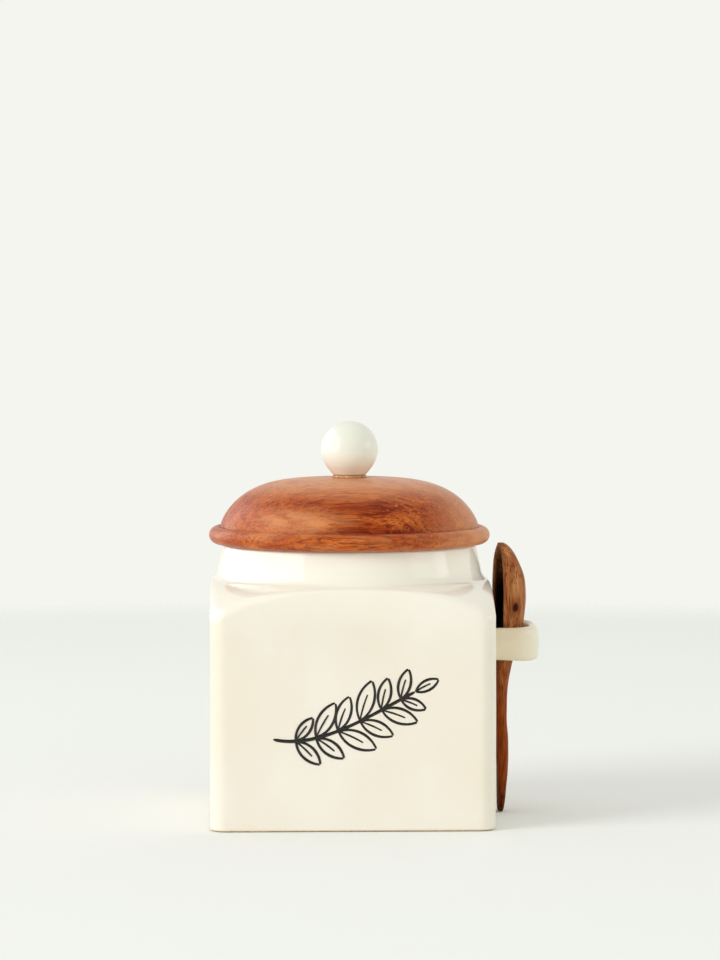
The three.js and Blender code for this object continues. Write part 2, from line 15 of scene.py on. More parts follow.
import bmesh
import bpy
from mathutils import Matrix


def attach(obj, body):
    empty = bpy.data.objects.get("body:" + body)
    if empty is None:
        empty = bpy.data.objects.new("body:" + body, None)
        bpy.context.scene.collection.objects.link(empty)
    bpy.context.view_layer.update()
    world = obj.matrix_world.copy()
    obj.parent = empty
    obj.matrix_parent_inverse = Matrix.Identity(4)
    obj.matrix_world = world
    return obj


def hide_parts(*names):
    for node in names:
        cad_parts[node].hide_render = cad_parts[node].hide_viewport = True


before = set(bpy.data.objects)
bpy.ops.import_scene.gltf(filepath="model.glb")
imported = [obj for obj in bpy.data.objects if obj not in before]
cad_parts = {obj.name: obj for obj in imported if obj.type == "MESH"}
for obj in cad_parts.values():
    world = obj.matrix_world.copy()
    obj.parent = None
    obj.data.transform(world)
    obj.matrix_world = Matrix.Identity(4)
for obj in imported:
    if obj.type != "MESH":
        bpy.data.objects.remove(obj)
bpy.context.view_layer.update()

LOG = logging.getLogger("sugar_canister")
HOLLOW_SHARE = "hollow_share"
MOST_EASED = 0.49
NOTHING: Mapping = MappingProxyType({})

Point = tuple[float, float, float]
Pair = tuple[float, float]
Colour = tuple[float, float, float]
Ring = list[Point]
Corner = tuple[float, float, float]
Material = bpy.types.Material
Socket = bpy.types.NodeSocket


class Body(Enum):
    """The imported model's bodies."""

    CANISTER = "canister"
    SEAL = "seal"
    LID = "lid"
    SPOON = "spoon"


class Slot(Enum):
    """The record's material slots."""

    STONEWARE = "glazed_stoneware"
    KNOB = "glazed_knob"
    LID_WOOD = "lid_wood"
    SPOON_WOOD = "spoon_wood"
    CORK = "washer_cork"
    SILICONE = "seal_silicone"


class Axis(Enum):
    """An axis of the frame, as its index."""

    X = 0
    Z = 2


class Coordinates(Enum):
    """The coordinates that patterns are drawn in."""

    PIECE = "Object"
    SKY = "Generated"


class Role(Enum):
    """What a lamp is there for."""

    LIGHT = "lights everything"
    MIRROR = "shows only in reflections"


def tint(*parts: int) -> Colour:
    """Turns a colour as a screen shows it, 0 to 255, into the linear colour that a shader takes."""
    shares = [part / 255 for part in parts]
    return tuple(s / 12.92 if s <= 0.04045 else ((s + 0.055) / 1.055) ** 2.4 for s in shares)


def on_axes(value: float | Sequence[float]) -> list[float]:
    """Gives one number for each axis, from one for all or from three."""
    return [value] * 3 if isinstance(value, float) else list(value)


# Shaders


@dataclass(frozen=True)
class Noise:
    """Cloudy noise: its blots' size, or their sizes along the axes, its finer layers and its shift."""

    sizes: float | Sequence[float]
    detail: float = 2.0
    shift: float = 0.0


@dataclass(frozen=True)
class GrainNoise:
    """Noise that is drawn out along a wood's grain: its blots' length and width, layers and shift."""

    length: float
    width: float
    detail: float = 2.0
    shift: float = 0.0

    def along(self, axis: Axis) -> Noise:
        """Gives the noise, with its length along one axis."""
        sizes = [self.length if index == axis.value else self.width for index in range(3)]
        return Noise(sizes, self.detail, self.shift)


@dataclass(frozen=True)
class Specks:
    """Round specks: the size of a mosaic's cells, a speck's radius, the share of cells with one, a shift."""

    spacing: float
    radius: float
    share: float
    shift: float


class Signal:
    """A number that varies over a surface. It wraps a socket, and Python's operators on it add Math nodes."""

    def __init__(self, nodes: "Nodes", socket: Socket) -> None:
        """Wraps a socket of a tree."""
        self.nodes = nodes
        self.socket = socket

    def maths(self, operation: str, *others: "Feed") -> "Signal":
        """Adds a Math node with this and what else goes into its sockets."""
        feeds = dict(enumerate((self, *others)))
        return self.nodes.signal("ShaderNodeMath", "Value", {"operation": operation}, feeds)

    def __add__(self, other: "Feed") -> "Signal":
        """Adds."""
        return self.maths("ADD", other)

    def __sub__(self, other: "Feed") -> "Signal":
        """Subtracts another from this."""
        return self.maths("SUBTRACT", other)

    def __rsub__(self, other: "Feed") -> "Signal":
        """Subtracts this from another."""
        return self.maths("MULTIPLY_ADD", -1.0, other)

    def __mul__(self, other: "Feed") -> "Signal":
        """Multiplies."""
        return self.maths("MULTIPLY", other)

    def __truediv__(self, other: "Feed") -> "Signal":
        """Divides."""
        return self.maths("DIVIDE", other)

    def __gt__(self, other: "Feed") -> "Signal":
        """Gives 1 where this is greater, and 0 elsewhere."""
        return self.maths("GREATER_THAN", other)

    def diagonal(self, other: "Signal") -> "Signal":
        """Gives the diagonal of a rectangle that has this and another as its sides."""
        return (self * self + other * other).maths("SQRT")

    def smooth(self, low: float, high: float) -> "Signal":
        """Steps smoothly from 0 to 1.

        Args:
            low: Where it is 0.
            high: Where it is 1. Below low, the step falls instead.

        Returns:
            The smooth step.
        """
        if high < low:
            return 1 - self.smooth(high, low)
        inputs = {"Value": self, "From Min": low, "From Max": high}
        return self.nodes.signal("ShaderNodeMapRange", "Result", {"interpolation_type": "SMOOTHSTEP"}, inputs)

    def span(self, low: float, high: float) -> "Signal":
        """Maps 0 to 1 onto low to high."""
        return self * (high - low) + low


Feed = float | Sequence[float] | Signal | Socket
Settings = Mapping[str, object]
Inputs = Mapping[str | int, Feed]


class Nodes:
    """A node tree, written as expressions."""

    def __init__(self, tree: bpy.types.NodeTree, coordinates: Coordinates) -> None:
        """Empties a tree.

        Args:
            tree: The tree.
            coordinates: What its patterns are drawn in.
        """
        self.tree = tree
        self.tree.nodes.clear()
        self.place = self.node("ShaderNodeTexCoord").outputs[coordinates.value]

    @cached_property
    def axes(self) -> tuple[Signal, Signal, Signal]:
        """The place's X, Y and Z."""
        return self.parts(self.place)

    @cached_property
    def radius(self) -> Signal:
        """The place's distance from the upright axis."""
        x, y, _ = self.axes
        return x.diagonal(y)

    def node(self, kind: str, settings: Settings = NOTHING, inputs: Inputs = NOTHING) -> bpy.types.Node:
        """Adds any node.

        Args:
            kind: The node's type.
            settings: Its own settings, which are set first.
            inputs: Values or links of its sockets, by name or number.

        Returns:
            The node.
        """
        made = self.tree.nodes.new(kind)
        for name, value in settings.items():
            setattr(made, name, value)
        for name, feed in inputs.items():
            self.feed(made.inputs[name], feed)
        return made

    def signal(self, kind: str, out: str, settings: Settings = NOTHING, inputs: Inputs = NOTHING) -> Signal:
        """Adds any node, and gives one of its outputs."""
        return Signal(self, self.node(kind, settings, inputs).outputs[out])

    def feed(self, socket: Socket, feed: Feed) -> None:
        """Links or sets one socket.

        Args:
            socket: The socket that takes the feed.
            feed: A signal, another socket, or plain numbers.
        """
        source = feed.socket if isinstance(feed, Signal) else feed
        if isinstance(source, Socket):
            self.tree.links.new(source, socket)
        elif socket.type == "RGBA" and len(source) == 3:
            socket.default_value = (*source, 1.0)
        else:
            socket.default_value = source

    def parts(self, vector: Feed) -> tuple[Signal, Signal, Signal]:
        """Splits a vector into its three numbers."""
        node = self.node("ShaderNodeSeparateXYZ", inputs={"Vector": vector})
        return tuple(Signal(self, node.outputs[axis]) for axis in "XYZ")

    def scaled(self, sizes: float | Sequence[float], shift: float | Sequence[float]) -> Socket:
        """Divides the place by sizes, in metres, so that each size becomes 1, and shifts the result."""
        inputs = {0: self.place, 1: [1 / size for size in on_axes(sizes)], 2: on_axes(shift)}
        return self.node("ShaderNodeVectorMath", {"operation": "MULTIPLY_ADD"}, inputs).outputs["Vector"]

    def noise(self, noise: Noise) -> Signal:
        """Draws noise from 0 to 1."""
        inputs = {"Vector": self.scaled(noise.sizes, noise.shift), "Scale": 1.0, "Detail": noise.detail}
        return self.signal("ShaderNodeTexNoise", "Fac", inputs=inputs)

    def specks(self, specks: Specks) -> Signal:
        """Draws specks, in some of the cells of a random mosaic.

        Args:
            specks: Their sizes.

        Returns:
            1 in a speck and 0 elsewhere.
        """
        inputs = {"Vector": self.scaled(specks.spacing, specks.shift), "Scale": 1.0}
        mosaic = self.node("ShaderNodeTexVoronoi", inputs=inputs)
        chosen = self.parts(mosaic.outputs["Color"])[0] > 1 - specks.share
        reach = specks.radius / specks.spacing
        return Signal(self, mosaic.outputs["Distance"]).smooth(reach, reach * 0.5) * chosen

    def reach(self, centre: Point, sizes: Point) -> Signal:
        """Measures the place's distance from a centre, with the size that counts as 1 along each axis."""
        moved = self.scaled(sizes, [-part / size for part, size in zip(centre, sizes)])
        return self.signal("ShaderNodeVectorMath", "Value", {"operation": "LENGTH"}, {0: moved})

    def mix(self, share: Feed, first: Feed, second: Feed) -> Socket:
        """Mixes a share of the second colour into the first."""
        settings = {"data_type": "RGBA", "clamp_factor": True}
        return self.node("ShaderNodeMix", settings, {0: share, 6: first, 7: second}).outputs[2]

    def relief(self, *layers: tuple[Signal, float]) -> Socket:
        """Lays relief on relief.

        Args:
            *layers: Heights from 0 to 1, each with what 1 stands out by in metres, the coarsest first.

        Returns:
            The bent normal.
        """
        normal: Inputs = NOTHING
        for height, depth in layers:
            inputs = {"Height": height, "Distance": depth, "Strength": 1.0, **normal}
            normal = {"Normal": self.node("ShaderNodeBump", inputs=inputs).outputs["Normal"]}
        return normal["Normal"]


class Shader(Nodes):
    """One material's node tree round a Principled BSDF."""

    def __init__(self, name: str, **constants: Feed) -> None:
        """Starts a material.

        Args:
            name: The material's name.
            **constants: Settings of the BSDF's sockets that are the same all over, with _ for a space.
        """
        self.material = bpy.data.materials.new(name)
        self.material.use_nodes = True
        super().__init__(self.material.node_tree, Coordinates.PIECE)
        self.surface = self.node("ShaderNodeBsdfPrincipled")
        self.output = self.node("ShaderNodeOutputMaterial", inputs={"Surface": self.surface.outputs["BSDF"]})
        self.dress(**constants)

    def dress(self, **feeds: Feed) -> Material:
        """Feeds the BSDF's sockets.

        Args:
            **feeds: Values by socket name, with _ for a space.

        Returns:
            The material.
        """
        for name, feed in feeds.items():
            self.feed(self.surface.inputs[name.replace("_", " ")], feed)
        return self.material


@dataclass(frozen=True)
class Glaze:
    """A cream glaze over pale stoneware, bare on the foot, with light or shade painted over one band."""

    name: str
    cream: Colour = tint(242, 235, 223)
    shade: Colour = tint(238, 229, 211)
    # Painted light: the thin colour and its band are light or shade painted into the glaze, not a thinner
    # glaze. By default the band paints a paler neck and upper front, a painted highlight where the lid's
    # overhang shades them.
    thin: Colour = tint(249, 245, 231)
    painted_light_axis: Axis = Axis.Z
    painted_light_reach: Pair = (0.066, 0.0925)
    bare_clay: Colour = tint(206, 181, 143)
    grog: Colour = tint(176, 146, 106)
    foot_height: float = 0.0004
    foot_softness: float = 0.0003
    gloss: Pair = (0.05, 0.13)
    cloud: Noise = Noise((0.034, 0.034, 0.05), 3.0)
    grit: Noise = Noise(0.0006, shift=3.0)
    wave: Noise = Noise(0.012, 1.0, 7.0)
    peel: Noise = Noise(0.0022, 1.0, 11.0)
    smear: Noise = Noise((0.02, 0.02, 0.01), 3.0, 2.0)
    pinholes: Specks = Specks(0.009, 0.00022, 0.25, 5.0)
    grit_relief: float = 0.00008
    wave_relief: float = 0.00006
    peel_relief: float = 0.000003

    def material(self) -> Material:
        """Builds the material.

        Returns:
            The material: cloudy cream, pinholes, a wavy glassy surface and a dry foot.
        """
        shader = Shader(self.name, IOR=1.52)
        noises = (self.cloud, self.grit, self.wave, self.peel, self.smear)
        cloud, grit, wave, peel, smear = (shader.noise(noise) for noise in noises)
        pinholes = shader.specks(self.pinholes)
        # Painted light: the thin colour is laid over a band along one axis, as a painted highlight or painted
        # shade.
        painted_light_share = shader.axes[self.painted_light_axis.value].smooth(*self.painted_light_reach) * cloud.span(1.0, 0.7)
        foot = shader.axes[Axis.Z.value].smooth(self.foot_height + self.foot_softness, self.foot_height)
        clay = shader.mix(grit.smooth(0.4, 0.7), self.bare_clay, self.grog)
        colour = shader.mix(cloud.smooth(0.3, 0.7), self.cream, self.shade)
        colour = shader.mix(painted_light_share, colour, self.thin)
        colour = shader.mix(pinholes * 0.25, colour, self.grog)
        colour = shader.mix(foot, colour, clay)
        relief = shader.relief(
            (wave, self.wave_relief),
            (peel - pinholes * 2.0, self.peel_relief),
            (grit * foot, self.grit_relief),
        )
        return shader.dress(Base_Color=colour, Roughness=smear.span(*self.gloss) + foot * 0.7, Normal=relief)


@dataclass(frozen=True)
class Wood:
    """Oiled wood cut from one block: growth rings about a pith line, streaks, fibres and open pores."""

    name: str
    grain: Axis
    pale: Colour
    middle: Colour
    dark: Colour
    pore: Colour
    fleck: Colour
    pith: Pair
    ring_spacing: float
    ring_share: float
    streak_share: float
    roughness: float
    specular: float
    sheen: float = 0.0
    hearts: tuple[tuple[Point, Point], ...] = ()
    bend: GrainNoise = GrainNoise(0.05, 0.02, shift=4.0)
    bend_reach: float = 0.016
    waver: GrainNoise = GrainNoise(0.012, 0.004, shift=8.0)
    waver_reach: float = 0.0016
    patch: GrainNoise = GrainNoise(0.05, 0.007, shift=1.0)
    streak: GrainNoise = GrainNoise(0.022, 0.0012, 3.0, 2.0)
    fibre: GrainNoise = GrainNoise(0.006, 0.00036, shift=3.0)
    flecks: GrainNoise = GrainNoise(0.0042, 0.0005, 1.0, 14.0)
    pores: GrainNoise = GrainNoise(0.0046, 0.00042, 1.0, 6.0)
    rub: Noise = Noise(0.012, 3.0, 12.0)
    rub_relief: float = 0.00012
    fibre_relief: float = 0.00004

    def noise(self, shader: Shader, noise: GrainNoise) -> Signal:
        """Draws noise along the wood's own grain."""
        return shader.noise(noise.along(self.grain))

    def rings(self, shader: Shader) -> Signal:
        """Draws growth rings, which darken slowly and then end sharply.

        Args:
            shader: The material in the making.

        Returns:
            1 in late wood and 0 in early wood.
        """
        across = [axis for index, axis in enumerate(shader.axes) if index != self.grain.value]
        first, second = (axis - middle for axis, middle in zip(across, self.pith))
        bend, waver = (self.noise(shader, noise) - 0.5 for noise in (self.bend, self.waver))
        distance = first.diagonal(second) + bend * self.bend_reach + waver * self.waver_reach
        turn = (distance / self.ring_spacing).maths("FRACT")
        return turn.smooth(0.25, 0.92) * turn.smooth(1.0, 0.93)

    def figure(self, shader: Shader) -> tuple[Socket, Signal, Signal]:
        """Draws the wood's figure.

        Args:
            shader: The material in the making.

        Returns:
            Its colour, its pores and its fibres.
        """
        late = self.rings(shader)
        patch, streak, fibre = (self.noise(shader, noise) for noise in (self.patch, self.streak, self.fibre))
        flecks = self.noise(shader, self.flecks).smooth(0.6, 0.7)
        pores = self.noise(shader, self.pores).smooth(0.59, 0.67)
        colour = shader.mix(patch.smooth(0.36, 0.58), self.pale, self.middle)
        depth = late * self.ring_share + streak.smooth(0.48, 0.64) * self.streak_share
        for centre, sizes in self.hearts:
            depth = depth + (shader.reach(centre, sizes) - streak * 1.6).smooth(0.5, -0.8) * 0.7
        colour = shader.mix(depth, colour, self.dark)
        colour = shader.mix(fibre.smooth(0.46, 0.66) * 0.4, colour, self.dark)
        colour = shader.mix(flecks * 0.35, colour, self.fleck)
        colour = shader.mix(pores * (1 - late * 0.4) * 0.75, colour, self.pore)
        return colour, pores, fibre

    def marks_and_painted_light(self, shader: Shader, colour: Socket, fibre: Signal) -> Socket:
        """Gives the colour with the piece's own marks and its painted light and shade, which each kind of wood
        draws in its own way.
        """
        raise NotImplementedError

    def material(self) -> Material:
        """Builds the material.

        Returns:
            The material: oiled wood with its own marks and painted light and shade, satin, rougher in the
                pores and with its fibres in relief.
        """
        constants = {"Specular_IOR_Level": self.specular, "Sheen_Weight": self.sheen, "Sheen_Roughness": 0.4}
        shader = Shader(self.name, IOR=1.5, **constants)
        colour, pores, fibre = self.figure(shader)
        rub = shader.noise(self.rub)
        return shader.dress(
            Base_Color=self.marks_and_painted_light(shader, colour, fibre),
            Roughness=rub.span(-0.08, 0.08) + pores * 0.2 + self.roughness,
            Normal=shader.relief((rub, self.rub_relief), (fibre - pores * 1.5, self.fibre_relief)),
        )


@dataclass(frozen=True)
class LidWood(Wood):
    """The lid's reddish wood, paler from wear on its bead's edge, with painted sheen on its dome's top, right
    side and lower left, and dusty in some pores.
    """

    bead_reach: Pair = (0.0478, 0.0498)
    # Painted sheen: the dome's top, its right side and a patch low on its left are painted paler, in the same
    # colour as the wear on the bead's edge.
    painted_sheen_height: Pair = (0.1165, 0.1245)
    painted_sheen_side: Pair = (0.022, 0.046)
    painted_sheen_place: Point = (-0.02, -0.038, 0.1105)
    painted_sheen_sizes: Point = (0.02, 0.02, 0.0055)
    worn_and_sheen: Colour = tint(226, 160, 108)
    dusty: Colour = tint(240, 214, 186)
    wear_and_sheen_blots: Noise = Noise((0.009, 0.009, 0.002), 3.0, 20.0)
    dust: Specks = Specks(0.0042, 0.0003, 0.3, 9.0)

    def marks_and_painted_light(self, shader: Shader, colour: Socket, fibre: Signal) -> Socket:
        """Wears the wood, paints sheen on its dome and lays dust on it.

        Args:
            shader: The material in the making.
            colour: The figure's colour.
            fibre: The figure's fibres.

        Returns:
            The colour.
        """
        x, _, z = shader.axes
        wear_and_sheen_blots = shader.noise(self.wear_and_sheen_blots).smooth(0.35, 0.62)
        edge = shader.radius.smooth(*self.bead_reach)
        patch = shader.reach(self.painted_sheen_place, self.painted_sheen_sizes).smooth(1.4, 0.3)
        # Painted sheen on the dome's top, right side and lower-left patch, and wear on the bead's edge.
        wear_and_sheen_share = z.smooth(*self.painted_sheen_height) * wear_and_sheen_blots.span(0.5, 0.68) + edge * wear_and_sheen_blots * 0.15
        wear_and_sheen_share = wear_and_sheen_share + x.smooth(*self.painted_sheen_side) * 0.48 + patch * wear_and_sheen_blots.span(0.28, 0.58)
        worn_and_sheen = shader.mix(wear_and_sheen_share, colour, self.worn_and_sheen)
        return shader.mix(shader.specks(self.dust) * 0.75, worn_and_sheen, self.dusty)


@dataclass(frozen=True)
class SpoonWood(Wood):
    """The spoon's brown wood, darker towards its lower end, with painted shade in the bowl's hollow and one
    small knot on its back.
    """

    knot_place: Point = (0.0611, -0.0087, 0.077)
    knot_sizes: Point = (0.0016, 0.0016, 0.0021)
    # Darker lower part: partly the wood's own darker colour, partly painted shade where the canister and the
    # loop shade the spoon.
    handle_and_shade_height: Pair = (0.084, 0.034)
    tip_height: Pair = (0.017, 0.002)
    # Painted shade: the bowl's hollow is painted nearly black, most fully low down.
    hollow_shade_height: Pair = (0.0985, 0.082)
    hollow_shade_colour: Colour = tint(17, 4, 2)
    handle_and_shade_colour: Colour = tint(152, 66, 14)

    def marks_and_painted_light(self, shader: Shader, colour: Socket, fibre: Signal) -> Socket:
        """Darkens the lower part, paints shade into the bowl's hollow, and draws the knot.

        Args:
            shader: The material in the making.
            colour: The figure's colour.
            fibre: The figure's fibres.

        Returns:
            The colour.
        """
        z = shader.axes[Axis.Z.value]
        # Darker lower part: partly own wood colour, partly painted shade from the canister and the loop.
        handle_and_shade_share = z.smooth(*self.handle_and_shade_height)
        colour = shader.mix(handle_and_shade_share * 0.9, colour, self.handle_and_shade_colour)
        streaks = fibre.smooth(0.42, 0.62) + z.smooth(*self.tip_height)
        colour = shader.mix(handle_and_shade_share * streaks * 0.55, colour, self.pore)
        # Painted shade in the hollow, nearly black and strongest low down.
        hollow = shader.signal("ShaderNodeAttribute", "Fac", {"attribute_name": HOLLOW_SHARE})
        hollow_shade_share = hollow.smooth(0.0, 0.22) * z.smooth(*self.hollow_shade_height).span(0.5, 1.0)
        colour = shader.mix(hollow_shade_share, colour, self.hollow_shade_colour)
        knot = shader.reach(self.knot_place, self.knot_sizes) + fibre * 0.8 - 0.4
        colour = shader.mix(knot.smooth(2.6, 1.0) * 0.6, colour, self.dark)
        return shader.mix(knot.smooth(1.1, 0.5), colour, self.pore)


@dataclass(frozen=True)
class Cork:
    """Pressed cork: tan grains of a few tenths of a millimetre with dark crevices."""

    name: str = "pressed_cork"
    pale: Colour = tint(226, 190, 136)
    brown: Colour = tint(192, 148, 94)
    crevice: Colour = tint(120, 84, 52)
    grains: Noise = Noise((0.0007, 0.0007, 0.0005))
    holes: Noise = Noise(0.0004, shift=5.0)
    relief: float = 0.00012

    def material(self) -> Material:
        """Builds the material.

        Returns:
            The material.
        """
        shader = Shader(self.name)
        grains = shader.noise(self.grains)
        holes = shader.noise(self.holes).smooth(0.6, 0.7)
        colour = shader.mix(grains.smooth(0.35, 0.65), self.pale, self.brown)
        colour = shader.mix(holes, colour, self.crevice)
        relief = shader.relief((grains - holes, self.relief))
        return shader.dress(Base_Color=colour, Roughness=grains.span(0.75, 0.95), Normal=relief)


@dataclass(frozen=True)
class Silicone:
    """Milky silicone with a faint mould texture."""

    name: str = "milky_silicone"
    milk: Colour = tint(229, 231, 226)
    haze: Colour = tint(214, 217, 211)
    cloud: Noise = Noise((0.006, 0.006, 0.002), 3.0)
    mould: Noise = Noise(0.0003, shift=4.0)
    relief: float = 0.00001

    def material(self) -> Material:
        """Builds the material.

        Returns:
            The material.
        """
        shader = Shader(self.name, IOR=1.41, Subsurface_Weight=0.15, Subsurface_Scale=0.002)
        cloud = shader.noise(self.cloud)
        colour = shader.mix(cloud.smooth(0.35, 0.65), self.milk, self.haze)
        relief = shader.relief((shader.noise(self.mould), self.relief))
        return shader.dress(Base_Color=colour, Roughness=cloud.span(0.38, 0.55), Normal=relief)


@dataclass(frozen=True)
class TurnedMetal:
    """Metal with fine turning marks about the knob's axis."""

    name: str
    bright: Colour
    dull: Colour
    marks_per_metre: float = 42000.0
    rough: Pair = (0.22, 0.44)
    film: Noise = Noise(0.0016, 3.0)
    relief: float = 0.000004

    def material(self) -> Material:
        """Builds the material.

        Returns:
            The material.
        """
        shader = Shader(self.name, Metallic=1.0)
        way = shader.radius + shader.axes[Axis.Z.value]
        marks = (way * self.marks_per_metre).maths("SINE").span(0.5, 1.0)
        film = shader.noise(self.film)
        colour = shader.mix(film.smooth(0.35, 0.7), self.bright, self.dull)
        relief = shader.relief((marks, self.relief))
        return shader.dress(Base_Color=colour, Roughness=film.span(*self.rough), Normal=relief)


@dataclass(frozen=True)
class BrushColour:
    """Black brush colour under the glaze, a little brown where it lies thin."""

    name: str = "black_underglaze"
    black: Colour = tint(27, 24, 21)
    thin: Colour = tint(58, 47, 37)
    load: Noise = Noise(0.004, 3.0)
    bristles: Noise = Noise((0.0012, 0.0004, 0.0004), shift=6.0)
    relief: float = 0.00002

    def material(self) -> Material:
        """Builds the material.

        Returns:
            The material.
        """
        shader = Shader(self.name, IOR=1.5)
        load = shader.noise(self.load)
        colour = shader.mix(load.smooth(0.45, 0.75) * 0.5, self.black, self.thin)
        relief = shader.relief((shader.noise(self.bristles), self.relief))
        return shader.dress(Base_Color=colour, Roughness=load.span(0.12, 0.3), Normal=relief)


# Meshes


@dataclass
class Shell:
    """A mesh in the making: its points and faces."""

    points: list[Point]
    faces: list[tuple[int, ...]]

    def join(self, other: "Shell") -> None:
        """Adds another shell.

        Args:
            other: The other shell.
        """
        first = len(self.points)
        self.points += other.points
        self.faces += [tuple(first + index for index in face) for face in other.faces]


def spread(first: float, last: float, steps: int) -> list[float]:
    """Gives evenly spaced numbers from the first to the last."""
    return [first + (last - first) * i / steps for i in range(steps + 1)]


def around(radius: float, angle: float, height: float) -> Point:
    """Gives the point in one direction from the upright axis."""
    return radius * math.cos(angle), radius * math.sin(angle), height


def arc(centre: Pair, radius: float, start: float, end: float, steps: int) -> list[Pair]:
    """Gives the points of an arc between two angles."""
    angles = spread(start, end, steps)
    return [(centre[0] + radius * math.cos(angle), centre[1] + radius * math.sin(angle)) for angle in angles]


def between(start: Pair, end: Pair, steps: int) -> list[Pair]:
    """Gives the points that divide a line into steps, without its ends."""
    return list(zip(*(spread(first, last, steps)[1:-1] for first, last in zip(start, end))))


def loft(rings: Sequence[Ring], caps: int = 2) -> Shell:
    """Joins rings of equally many points.

    Args:
        rings: The rings, in order.
        caps: How many ends are closed, the first ring's end before the last one's.

    Returns:
        The shell.
    """
    around_count, end = len(rings[0]), (len(rings) - 1) * len(rings[0])
    points = [point for ring in rings for point in ring]
    steps = [(i, (i + 1) % around_count) for i in range(around_count)]
    faces: list[tuple[int, ...]] = []
    for low in range(0, end, around_count):
        high = low + around_count
        faces += [(low + i, low + following, high + following, high + i) for i, following in steps]
    for start, ring, turn in ((0, rings[0], -1), (end, rings[-1], 1))[:caps]:
        middle = len(points)
        points.append(tuple(sum(parts) / around_count for parts in zip(*ring)))
        faces += [(start + i, start + following, middle)[::turn] for i, following in steps]
    return Shell(points, faces)


def turned(outline: Sequence[Pair], foot: float, steps: int) -> Shell:
    """Turns an outline about the upright axis.

    Args:
        outline: Radius and height of each point. It closes on itself, and may touch the axis.
        foot: The height that the outline's heights are measured from.
        steps: How many steps make the round.

    Returns:
        The closed shell.
    """
    points: list[Point] = []
    rows: list[list[int]] = []
    for radius, height in outline:
        count = steps if radius > 0 else 1
        rows.append([len(points) + i % count for i in range(steps)])
        points += [around(radius, 2 * math.pi * i / steps, foot + height) for i in range(count)]
    faces = []
    for low, high in zip(rows, rows[1:] + rows[:1]):
        for i in range(steps):
            following = (i + 1) % steps
            corners = tuple(dict.fromkeys((low[i], low[following], high[following], high[i])))
            if len(corners) > 2:
                faces.append(corners)
    return Shell(points, faces)


def eased(corners: Sequence[Corner], steps: int = 4) -> list[Pair]:
    """Rounds the corners of a closed outline.

    Args:
        corners: Radius, height and rounding of each corner. A rounding of 0 leaves the corner as it is.
        steps: How many steps each round corner has.

    Returns:
        The outline's points.
    """
    outline: list[Pair] = []
    for index, (x, y, rounding) in enumerate(corners):
        if rounding == 0:
            outline.append((x, y))
            continue
        ends = []
        for neighbour in (corners[index - 1], corners[(index + 1) % len(corners)]):
            dx, dy = neighbour[0] - x, neighbour[1] - y
            share = min(rounding / math.hypot(dx, dy), MOST_EASED)
            ends.append((x + dx * share, y + dy * share))
        (ax, ay), (bx, by) = ends
        for t in spread(0, 1, steps):
            first, middle, last = (1 - t) ** 2, 2 * t * (1 - t), t * t
            outline.append((first * ax + middle * x + last * bx, first * ay + middle * y + last * by))
    return outline


def make_piece(name: str, shell: Shell, material: Material, crease: float = 38.0) -> bpy.types.Object:
    """Makes a smooth object from a shell.

    Args:
        name: The piece's name.
        shell: Its points and faces.
        material: Its material.
        crease: The angle between faces, in degrees, above which an edge stays sharp.

    Returns:
        The object.
    """
    mesh = bpy.data.meshes.new(name)
    mesh.from_pydata(shell.points, [], shell.faces)
    work = bmesh.new()
    work.from_mesh(mesh)
    bmesh.ops.recalc_face_normals(work, faces=work.faces)
    work.to_mesh(mesh)
    work.free()
    mesh.shade_smooth()
    mesh.set_sharp_from_angle(angle=math.radians(crease))
    mesh.materials.append(material)
    piece = bpy.data.objects.new(name, mesh)
    bpy.context.scene.collection.objects.link(piece)
    return piece


def settle(piece: bpy.types.Object, body: Body, slot: Slot | None, *nodes: str) -> None:
    """Puts a finished piece on its body.

    Args:
        piece: The piece, in place.
        body: The body that it moves with.
        slot: The material slot of its finish, if it has one. It is not used.
        *nodes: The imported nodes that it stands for.
    """
    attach(piece, body.value)
    if nodes:
        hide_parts(*nodes)
    LOG.info("%s rides on %s, %d faces", piece.name, body.value, len(piece.data.polygons))


@dataclass(frozen=True)
class Square:
    """A level square with round corners about the upright axis."""

    half: float
    corner: float

    def radius(self, angle: float) -> float:
        """Gives the distance from the axis to its edge.

        Args:
            angle: The direction.

        Returns:
            The distance.
        """
        x, y = abs(math.cos(angle)), abs(math.sin(angle))
        to_side = self.half / max(x, y)
        flat = self.half - self.corner
        if to_side * min(x, y) <= flat:
            return to_side
        along = flat * (x + y)
        return along + math.sqrt(along**2 - 2 * flat**2 + self.corner**2)


# Sub-assemblies


